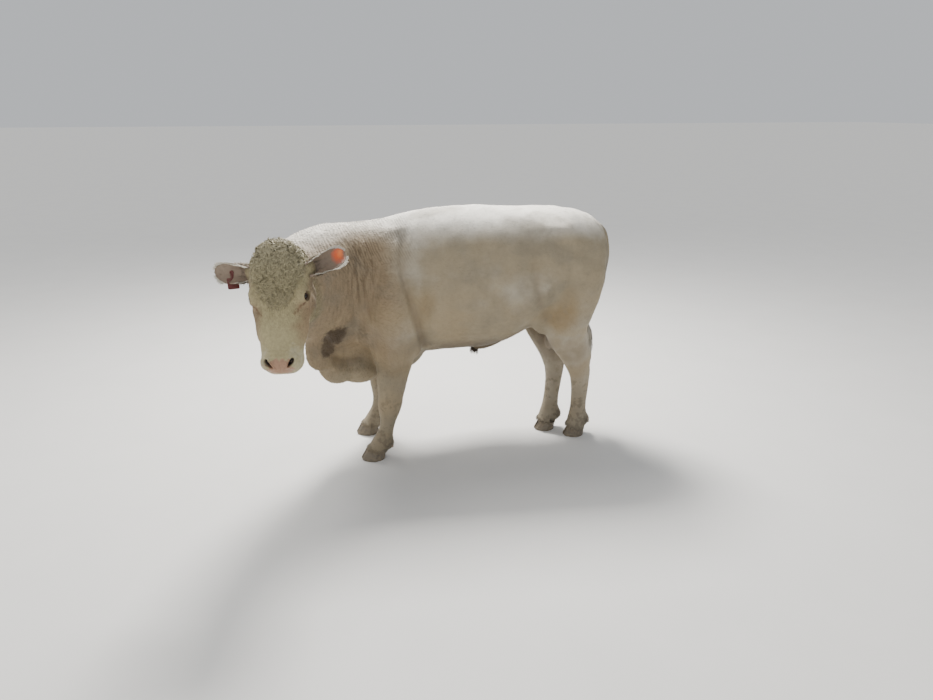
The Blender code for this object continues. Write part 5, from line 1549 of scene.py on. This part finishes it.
class Number:
    """A socket's value; each operator on it adds a Math node."""

    def __init__(self, finish, socket):
        self.finish, self.socket = finish, socket

    def math(self, operation, *others):
        made = self.finish.node("ShaderNodeMath", {"operation": operation}, dict(enumerate((self, *others))))
        return Number(self.finish, made.outputs[0])

    def __add__(self, other):
        return self.math("ADD", other)

    def __sub__(self, other):
        return self.math("SUBTRACT", other)

    def __rsub__(self, other):
        return (self * -1.0).math("ADD", other)

    def __mul__(self, other):
        return self.math("MULTIPLY", other)

    def __truediv__(self, other):
        return self.math("DIVIDE", other)

    def __pow__(self, other):
        return self.math("POWER", other)

    def __abs__(self):
        return self.math("ABSOLUTE")

    __radd__, __rmul__ = __add__, __mul__


class Finish:
    """A material that is worked out by its nodes."""

    def __init__(self, name, roughness=0.7):
        self.material = bpy.data.materials.new(name)
        self.material.use_nodes = True
        self.tree = self.material.node_tree
        self.shader = self.tree.nodes["Principled BSDF"]
        self.shader.inputs["Roughness"].default_value = roughness
        self.places = self.node("ShaderNodeTexCoord").outputs["Object"]

    def node(self, kind, settings=None, values=None):
        """Adds a node: its settings first, then the values or links of its sockets."""
        made = self.tree.nodes.new(kind)
        for key, value in (settings or {}).items():
            if key == "stops":
                while len(made.color_ramp.elements) < len(value):
                    made.color_ramp.elements.new(1.0)
                for element, (at, shade) in zip(made.color_ramp.elements, value):
                    element.position, element.color = at, (*shade, 1.0)
            else:
                setattr(made, key, value)
        for key, value in (values or {}).items():
            self.join(made.inputs[key], value)
        return made

    def join(self, socket, value):
        if isinstance(value, Number):
            value = value.socket
        if isinstance(value, bpy.types.NodeSocket):
            self.tree.links.new(value, socket)
        elif socket.type == "RGBA":
            socket.default_value = (*value, 1.0)
        else:
            socket.default_value = value

    def paint(self, colour, roughness=None):
        self.join(self.shader.inputs["Base Color"], colour)
        if roughness is not None:
            self.join(self.shader.inputs["Roughness"], roughness)

    def vector(self, operation, *values):
        """What a Vector Math node gives: a number for a length or a dot product, otherwise a vector."""
        made = self.node("ShaderNodeVectorMath", {"operation": operation}, dict(enumerate(values)))
        if operation in ("DOT_PRODUCT", "LENGTH"):
            return Number(self, made.outputs["Value"])
        return made.outputs[0]

    def bull_places(self):
        """Places in the bull's own frame."""
        return self.vector("SUBTRACT", self.places, tuple(SHIFT))

    def head_places(self, bull):
        """Places in the head's own frame, with its right side folded over its left."""
        offset = self.vector("SUBTRACT", bull, tuple(POLL))
        x, y, z = (self.vector("DOT_PRODUCT", offset, tuple(HEAD_AXES[:, k])) for k in range(3))
        return self.node("ShaderNodeCombineXYZ", None, {0: x, 1: abs(y), 2: z}).outputs[0]

    def split(self, vector):
        made = self.node("ShaderNodeSeparateXYZ", None, {0: vector})
        return [Number(self, made.outputs[k]) for k in range(3)]

    def noise(self, vector, scale, detail=3.0, stretch=None):
        """Soft noise from 0 to 1."""
        if stretch:
            vector = self.node("ShaderNodeMapping", None, {"Vector": vector, "Scale": stretch}).outputs[0]
        made = self.node("ShaderNodeTexNoise", None, {"Vector": vector, "Scale": scale, "Detail": detail})
        return Number(self, made.outputs["Fac"])

    def ramp(self, value, low, high):
        """Rises smoothly from 0 to 1 between low and high, or falls where low is above high."""
        if low > high:
            return 1.0 - self.ramp(value, high, low)
        values = {"Value": value, "From Min": low, "From Max": high}
        made = self.node("ShaderNodeMapRange", {"interpolation_type": "SMOOTHSTEP"}, values)
        return Number(self, made.outputs["Result"])

    def spot(self, vector, centre, radii, edge=None, soft=0.5):
        """1 inside an egg-shaped spot, 0 outside it, with an uneven edge."""
        scale = tuple(1 / radius for radius in radii)
        far = self.vector("LENGTH", self.vector("MULTIPLY", self.vector("SUBTRACT", vector, centre), scale))
        if edge is not None:
            far = far + (edge - 0.5) * 1.6
        return self.ramp(far, 1.0 + soft, 1.0 - soft)

    def mix(self, first, second, share):
        return self.node("ShaderNodeMix", {"data_type": "RGBA"}, {0: share, 6: first, 7: second}).outputs[2]

    def over(self, colour, *layers):
        """A colour under layers of others, each given with its share."""
        for shade, share in layers:
            colour = self.mix(colour, shade, share)
        return colour

    def tint(self, colour, value):
        """A colour made lighter or darker by a number."""
        return self.node("ShaderNodeVectorMath", {"operation": "SCALE"}, {0: colour, "Scale": value}).outputs[0]

    def bump(self, height, strength, distance):
        made = self.node("ShaderNodeBump", None, {"Strength": strength, "Distance": distance, "Height": height})
        self.join(self.shader.inputs["Normal"], made.outputs[0])

    def attribute(self, name):
        return Number(self, self.node("ShaderNodeAttribute", {"attribute_name": name}).outputs["Fac"])


def body_colours(finish, bull, off_head, broad, middle):
    """Cream and white of the coat over trunk, neck and legs, with painted sunlight along the top of the back, painted
    shade in the neck's wrinkles and under the body, and stains.
    """
    x, _, z = finish.split(bull)
    neck = finish.ramp(x + (broad - 0.5) * 0.2, -0.36, -0.60) * finish.ramp(z, 1.36, 1.22) * finish.ramp(z, 0.48, 0.74)
    pale_leg = finish.ramp(z, 0.84, 0.66) * finish.ramp(x, 0.30, 0.42)
    streaks = finish.noise(bull, 60.0, 3.0, (1.0, 1.0, 0.16))
    wrinkled = finish.spot(bull, (-0.665, -0.27, 1.120), (0.085, 0.16, 0.140), broad, 0.6)
    folded = finish.ramp(x, -0.52, -0.72) * finish.ramp(streaks, 0.44, 0.60)
    blotch = finish.noise(bull, 5.5, 5.0, (0.7, 1.0, 1.0))
    colour = finish.over(
        CREAM,
        # Paler top of the back: partly the coat's own white, partly painted sunlight
        (WHITE_COAT, finish.ramp(z + (broad - 0.5) * 0.10, 1.20, 1.36)),
        (WHITE_COAT, finish.ramp(broad, 0.50, 0.75) * 0.25),
        (NECK_TAN, neck * (0.45 + 0.40 * middle) * off_head),
        (WHITE_COAT, pale_leg * 0.20),
        # Painted shade in the wrinkles and folds of the turned neck
        (NECK_SHADE, wrinkled * finish.ramp(streaks, 0.38, 0.62) * 0.52 * off_head),
        (NECK_SHADE, folded * off_head * 0.20),
        (BLOTCH_GREY, finish.ramp(blotch, 0.48, 0.66) * 0.48),
        (BLOTCH_TAN, finish.ramp(blotch, 0.50, 0.36) * finish.ramp(z, 1.15, 0.80) * 0.45),
    )
    mottled = 0.4 * broad + 0.6 * middle
    # Stains, and painted shade under the belly and between the thighs
    for centre, radii, shade, amount in STAINS_AND_SHADE:
        colour = finish.mix(colour, shade, finish.spot(bull, centre, radii, mottled, 0.6) * amount)
    return colour


def dirt_and_shade_layers(finish, bull, broad, middle, small):
    """Painted shade along the underside of the belly, and dirt that thickens towards the floor."""
    x, _, z = finish.split(bull)
    # Painted shade along the belly's underside
    under = finish.ramp(z + (middle - 0.5) * 0.04, 0.690, 0.610) * finish.ramp(abs(x - 0.06), 0.40, 0.22)
    patches = finish.ramp(middle, 0.56, 0.70) * finish.ramp(x, 0.20, 0.45) * finish.ramp(z, 0.40, 0.60)
    caked = finish.ramp(z, 0.60, 0.25) * finish.ramp(small + (middle - 0.5) * 1.1, 0.44, 0.74)
    return (
        (BELLY_PAINTED_SHADE, under * 0.75),
        (DIRT_AND_SHADE_GREY, patches * 0.30),
        (STAIN, finish.ramp(z, 0.78, 0.62) * finish.ramp(broad, 0.40, 0.60) * 0.35),
        (DIRT_AND_SHADE_GREY, finish.ramp(z + (middle - 0.5) * 0.30, 0.48, 0.04) * 0.60),
        (CAKED_DIRT, caked * 0.58),
    )


def face_layers(finish, face, on_head, middle, small, nose, rim):
    """Warmer cheeks, a tan jaw that is partly painted shade, pale ring of the muzzle, pink nose, and the dark lids with
    their tear line.
    """
    jaw = finish.spot(face, (0.130, 0.140, -0.150), (0.120, 0.060, 0.120), middle, 0.5)
    cheek = finish.spot(face, (0.290, 0.110, -0.085), (0.120, 0.055, 0.060), middle, 0.6)
    brow = finish.spot(face, (0.195, 0.095, -0.040), (0.060, 0.050, 0.050), middle, 0.6)
    ring = finish.spot(face, (0.468, 0.062, -0.075), (0.055, 0.034, 0.060), small, 0.4)
    duct = finish.spot(face, (0.218, 0.111, -0.034), (0.011, 0.009, 0.009), None, 0.4)
    return (
        (FACE_CREAM, on_head * 0.85),
        # Tan of the jaw, partly painted shade
        (JAW_TAN_AND_SHADE, jaw * 0.80 * on_head),
        (CHEEK_TAN, cheek * 0.78 * on_head),
        (BROW_TAN, brow * 0.20 * on_head),
        (MUZZLE_PALE, ring * 0.45),
        (NOSE_PINK, nose * 0.9),
        (TEAR, rim * 0.75),
        (TEAR_TRACK, finish.attribute("tear") * 0.92),
        (DARK_SKIN_AND_SHADE, duct * 0.85),
    )


def coat_colours(finish):
    """Colour of coat and bare skin at each place, how wet and how bare it is there, and the bull's places."""
    bull = finish.bull_places()
    face = finish.head_places(bull)
    x, _, z = finish.split(bull)
    face_x, _, face_z = finish.split(face)
    face_x, face_z = face_x - HEAD_CUT_AT.x, face_z - HEAD_CUT_AT.z
    broad, middle, small = (finish.noise(bull, *grain) for grain in ((3.4, 3.0), (13.0, 4.0), (48.0, 3.0)))
    on_head = finish.ramp(HEAD_CUT_OUT[0] * face_x + HEAD_CUT_OUT[2] * face_z, -0.09, 0.02)
    on_head = on_head * finish.ramp(HEAD_CUT_DOWN[0] * face_x + HEAD_CUT_DOWN[2] * face_z, 0.50, 0.44)
    off_head = 1.0 - on_head
    ragged = 0.5 * middle + 0.5 * small
    wet = finish.spot(bull, (-0.836, -0.262, 0.780), (0.062, 0.12, 0.058), ragged, 0.28)
    wet = wet.math("MAXIMUM", finish.spot(bull, (-0.872, -0.240, 0.712), (0.040, 0.10, 0.050), ragged, 0.32) * 0.9)
    clean = finish.spot(bull, (-0.720, -0.17, 0.480), (0.200, 0.12, 0.050), middle, 0.5)
    nose = finish.spot(face, (0.500, 0.0, -0.052), (0.041, 0.057, 0.050), small, 0.16)
    rim = finish.spot(face, tuple(EYE_PLACE), (0.025, 0.025, 0.025), small, 0.18)
    colour = finish.over(
        body_colours(finish, bull, off_head, broad, middle),
        *dirt_and_shade_layers(finish, bull, broad, middle, small),
        (WET_BROWN, wet * 0.90),
        (CREAM, clean * 0.7),
        # Painted shade in the body's creases, stronger lower down
        (NECK_SHADE, finish.attribute("crease") * (0.16 + 0.26 * finish.ramp(z, 1.15, 0.80))),
        *face_layers(finish, face, on_head, middle, small, nose, rim),
    )
    rows = (x * COMB_AIM[0] + z * COMB_AIM[2] + (broad - 0.5) * 0.05 + (middle - 0.5) * 0.022) * (2 * pi / COMB_STEP)
    crest = finish.ramp(x, -0.36, -0.48) * finish.ramp(z, 1.08, 1.22) * off_head
    combed = (0.5 + 0.5 * rows.math("SINE")) * crest * finish.ramp(middle, 0.32, 0.52)
    falling = finish.noise(bull, 16.0, 4.0, (1.0, 1.0, 0.28))
    # Darker stripes between the combed rows on the crest: partly the hair's own tone, partly painted shade between the
    # ridges
    shade = (0.80 + 0.24 * small + 0.14 * (middle - 0.5) + 0.18 * falling) * (1.0 - 0.34 * combed)
    shade = shade * (1.0 + on_head * (finish.noise(bull, 95.0, 3.0) - 0.5) * 0.55)
    return finish.tint(colour, shade), wet, nose.math("MAXIMUM", rim), bull


def skin_finish():
    """Skin under the coat: fine flat hair as bump, and bare pink pores on the nose."""
    finish = Finish("hide", 0.75)
    colour, wet, bare, bull = coat_colours(finish)
    hair = finish.noise(bull, 260.0, 3.0, (0.25, 0.6, 1.0))
    pores = finish.node("ShaderNodeTexVoronoi", None, {"Vector": bull, "Scale": 420.0})
    pores = Number(finish, pores.outputs["Distance"])
    finish.bump(hair * (1.0 - bare) + pores * bare * 0.7, 0.45, 0.0014)
    # Painted shade inside the nostrils and along the mouth's line
    finish.paint(finish.mix(colour, DARK_SKIN_AND_SHADE, finish.attribute("dark")), 0.82 - 0.42 * wet - 0.36 * bare)
    return finish.material


def coat_finish(name, lighten=0.0, shade_at_root=0.14, uneven=0.14, brown=None):
    """Hair in the skin's own markings, darker at the roots as painted shade, each tuft a little different."""
    finish = Finish(name, 0.62)
    finish.shader.inputs["Sheen Weight"].default_value = 0.12
    finish.shader.inputs["Specular IOR Level"].default_value = 0.30
    colour, wet, _, bull = coat_colours(finish)
    if brown:
        colour = finish.mix(colour, brown, 0.75)
    if lighten:
        colour = finish.mix(colour, WHITE_COAT, lighten)
    # Painted glow of light through the left ear, in its hair too
    if name == "ear_hair":
        colour = glow_in_ear(finish, bull, colour, 0.85)
    strand, tip, fine = finish.attribute("strand"), finish.attribute("tip"), finish.noise(bull, 620.0, 2.0)
    # Painted shade at the roots of the tufts, lighter towards the tips
    light = (1.0 - shade_at_root) + shade_at_root * tip + uneven * (strand - 0.5) + 0.10 * (fine - 0.5)
    finish.paint(finish.tint(colour, light), 0.70 - 0.38 * wet)
    return finish.material


def ear_finish():
    """Ear skin: dusky inside, with a painted red glow near the left tip where light comes through it."""
    finish = Finish("ear_skin", 0.65)
    bull = finish.bull_places()
    small, fine = finish.noise(bull, 60.0, 4.0), finish.noise(bull, 500.0, 2.0)
    colour = glow_in_ear(finish, bull, finish.mix(EAR_SKIN_DARK, EAR_SKIN_PALE, small), 1.0)
    finish.paint(finish.tint(colour, 0.85 + 0.3 * fine))
    finish.bump(fine, 0.4, 0.001)
    return finish.material


def glow_in_ear(finish, bull, colour, amount):
    """The colour with painted red light where light comes through the thin end of the left ear."""
    ragged = 0.15 + 0.70 * finish.noise(bull, 60.0, 3.0)
    outer = finish.spot(bull, tuple(ear_point(1, 0.80, 0.15)), (0.024, 0.030, 0.032), ragged, 0.85)
    core = finish.spot(bull, tuple(ear_point(1, 0.86, 0.25)), (0.012, 0.020, 0.020), ragged, 0.90)
    return finish.over(colour, (EAR_GLOW, outer * amount), (EAR_GLOW_CORE, core * amount))


def eye_finish():
    """Dark moist eye: brown iris round a long pupil, dull white at its corners."""
    finish = Finish("eye_moist", 0.06)
    finish.shader.inputs["Coat Weight"].default_value = 0.2
    finish.shader.inputs["Specular IOR Level"].default_value = 0.3
    finish.shader.inputs["Coat Roughness"].default_value = 0.02
    centre, along, up, _ = eye_frame(1)
    offset = finish.vector("SUBTRACT", finish.head_places(finish.bull_places()), tuple(centre))
    a, b = (finish.vector("DOT_PRODUCT", offset, tuple(axis)) for axis in (along, up))
    iris = finish.ramp((a * a + b * b) ** 0.5, 0.0155, 0.0140)
    pupil = finish.ramp(((a / 1.7) ** 2 + b * b) ** 0.5, 0.0052, 0.0042)
    brown = finish.mix(IRIS_DARK, IRIS_BROWN, finish.noise(finish.places, 900.0, 2.0))
    finish.paint(finish.over(EYE_WHITE, (brown, iris), (PUPIL_BLACK, pupil)))
    return finish.material


def rim_finish():
    """Moist dark skin at the edges of the lids."""
    finish = Finish("lid_rim_moist", 0.25)
    fine = finish.noise(finish.places, 700.0, 3.0)
    finish.paint(finish.mix(RIM_DARK, RIM_PINK, fine))
    finish.bump(fine, 0.3, 0.0005)
    return finish.material


def horn_finish():
    """Hoof horn: grey-brown growth rings, worn and dirty towards the floor."""
    finish = Finish("hoof_horn", 0.5)
    _, _, z = finish.split(finish.places)
    dirt = finish.noise(finish.places, 40.0, 5.0)
    rings = finish.noise(finish.places, 30.0, 3.0, (0.6, 0.6, 9.0))
    fibre = finish.noise(finish.places, 260.0, 2.0, (1.0, 1.0, 0.08))
    colour = finish.over(
        HORN_DARK,
        (HORN_PALE, rings),
        (HORN_CROWN, finish.ramp(z, 0.045, 0.075) * 0.5),
        (HORN_DIRT, finish.ramp(dirt, 0.45, 0.62) * 0.7),
    )
    finish.paint(finish.tint(colour, 0.8 + 0.4 * fibre), 0.45 + 0.35 * dirt)
    finish.bump(rings * 0.8 + fibre * 0.35, 0.6, 0.0022)
    return finish.material


def tag_finish():
    """Moulded tag plastic, dark red, scuffed and dusty."""
    finish = Finish("tag_plastic", 0.4)
    scuff = finish.noise(finish.places, 120.0, 5.0)
    dust = finish.noise(finish.places, 30.0, 4.0)
    colour = finish.over(TAG_RED, (TAG_WORN, scuff), (TAG_DUST, finish.ramp(dust, 0.50, 0.70) * 0.5))
    finish.paint(colour, 0.30 + 0.35 * scuff)
    finish.bump(scuff, 0.15, 0.0008)
    return finish.material


def floor_finish():
    """Pale, slightly uneven studio floor."""
    finish = Finish("studio_floor", 0.85)
    finish.paint(finish.mix(FLOOR_PALE, FLOOR_PALER, finish.noise(finish.places, 3.0, 5.0)))
    return finish.material


def studio():
    """Pale floor, soft lights and the camera."""
    bm = bmesh.new()
    bmesh.ops.create_grid(bm, x_segments=2, y_segments=2, size=FLOOR_SIZE)
    floor = object_of(mesh_of(bm, "floor"), "floor")
    floor.data.materials.append(floor_finish())
    world = bpy.data.worlds.new("studio")
    bpy.context.scene.world = world
    world.use_nodes = True
    sky = world.node_tree.nodes["Background"].inputs
    sky["Color"].default_value, sky["Strength"].default_value = SKY, SKY_STRENGTH
    for name, kind, at, size, power, colour in LIGHTS:
        light = bpy.data.lights.new(name, kind)
        light.energy, light.color = power, colour
        setattr(light, "angle" if kind == "SUN" else "size", size)
        lamp = bpy.data.objects.new(name, light)
        bpy.context.scene.collection.objects.link(lamp)
        aim = LIGHTS_AIM - Vector(at)
        lamp.matrix_world = Matrix.Translation(at) @ aim.to_track_quat("-Z", "Y").to_matrix().to_4x4()
    down, turn = radians(CAMERA_DOWN), radians(CAMERA_TURN)
    level = Vector((sin(turn), cos(turn), 0))
    right = Vector((cos(turn), -sin(turn), 0))
    ahead = level * cos(down) + Vector((0, 0, -sin(down)))
    camera = bpy.data.objects.new("camera", bpy.data.cameras.new("camera"))
    bpy.context.scene.collection.objects.link(camera)
    camera.data.sensor_width = SENSOR_WIDTH
    camera.data.lens = SENSOR_WIDTH * FOCUS_PIXELS / FRAME_PIXELS
    axes = Matrix((right, right.cross(ahead), -ahead)).transposed().to_4x4()
    camera.matrix_world = Matrix.Translation(CAMERA_AT + SHIFT) @ axes
    bpy.context.scene.camera = camera


def main():
    clear_start()
    rng = np.random.default_rng(SEED)
    hide, coat = skin_finish(), coat_finish("coat_hair")
    curly, face = coat_finish("curly_hair", 0.06, 0.42, 0.30), coat_finish("face_hair", 0.0, 0.26, 0.42)
    # The ears' rim hair: their pale fringe, lightened further as painted backlight
    on_ear = coat_finish("ear_hair", 0.0, 0.30, 0.30, EAR_HAIR_BROWN), coat_finish("pale_backlit_rim_hair", 0.70, 0.10, 0.15)
    dark = coat_finish("sheath_hair", 0.0, 0.3, 0.3, SHEATH_HAIR_BROWN)
    switch = coat_finish("tail_hair", 0.30, 0.35, 0.35)
    lash = coat_finish("lash_hair", 0.0, 0.2, 0.2, LASH_BROWN)
    skin = skin_mesh(rng)
    ground = Ground(skin.data)
    thinned(skin)
    dressed(skin, hide)
    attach(skin, "root")
    legs = [foot + half for foot in feet() for half in ("_upper", "_lower")]
    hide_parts("torso", "neck", "head", "tail_dock", "sheath", "scrotum", *legs)
    hair = trunk_coat(ground, coat, rng) + neck_coat(ground, coat, rng) + feet_coat(ground, coat, rng)
    hair += face_coat(ground, face, rng) + poll_curls(ground, curly, rng)
    ear_skin, moist, rim = ear_finish(), eye_finish(), rim_finish()
    for side, label in ((1, "left"), (-1, "right")):
        ear = ear_piece(side, "ear_skin_" + label, ear_skin)
        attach(ear, "root")
        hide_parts("ear_" + label)
        hair += ear_hair(ground, side, "ear_hair_" + label, on_ear, rng)
        ball = eyeball(side, "eyeball_" + label, moist)
        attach(ball, "root")
        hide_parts("eye_" + label)
        band = lid_rim(side, "lid_rim_" + label, rim)
        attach(band, "root")
        hair += lashes(ground, side, "lashes_" + label, lash, rng)
    tail = hanging_hair(ground, "switch", rng, *TAIL_LOCKS, switch)
    hair += hanging_hair(ground, "sheath_tuft", rng, *SHEATH_LOCKS, dark)
    for piece in hair + tail:
        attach(piece, "root")
        "tail_hair" if piece in tail else "coat"
    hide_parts("tail_switch")
    horn, plastic = horn_finish(), tag_finish()
    for name, node in frame["nodes"].items():
        if "claw" in name:
            node.material_slots[0].material = horn
        if name.startswith("tag"):
            node.material_slots[0].material = plastic
    studio()


main()
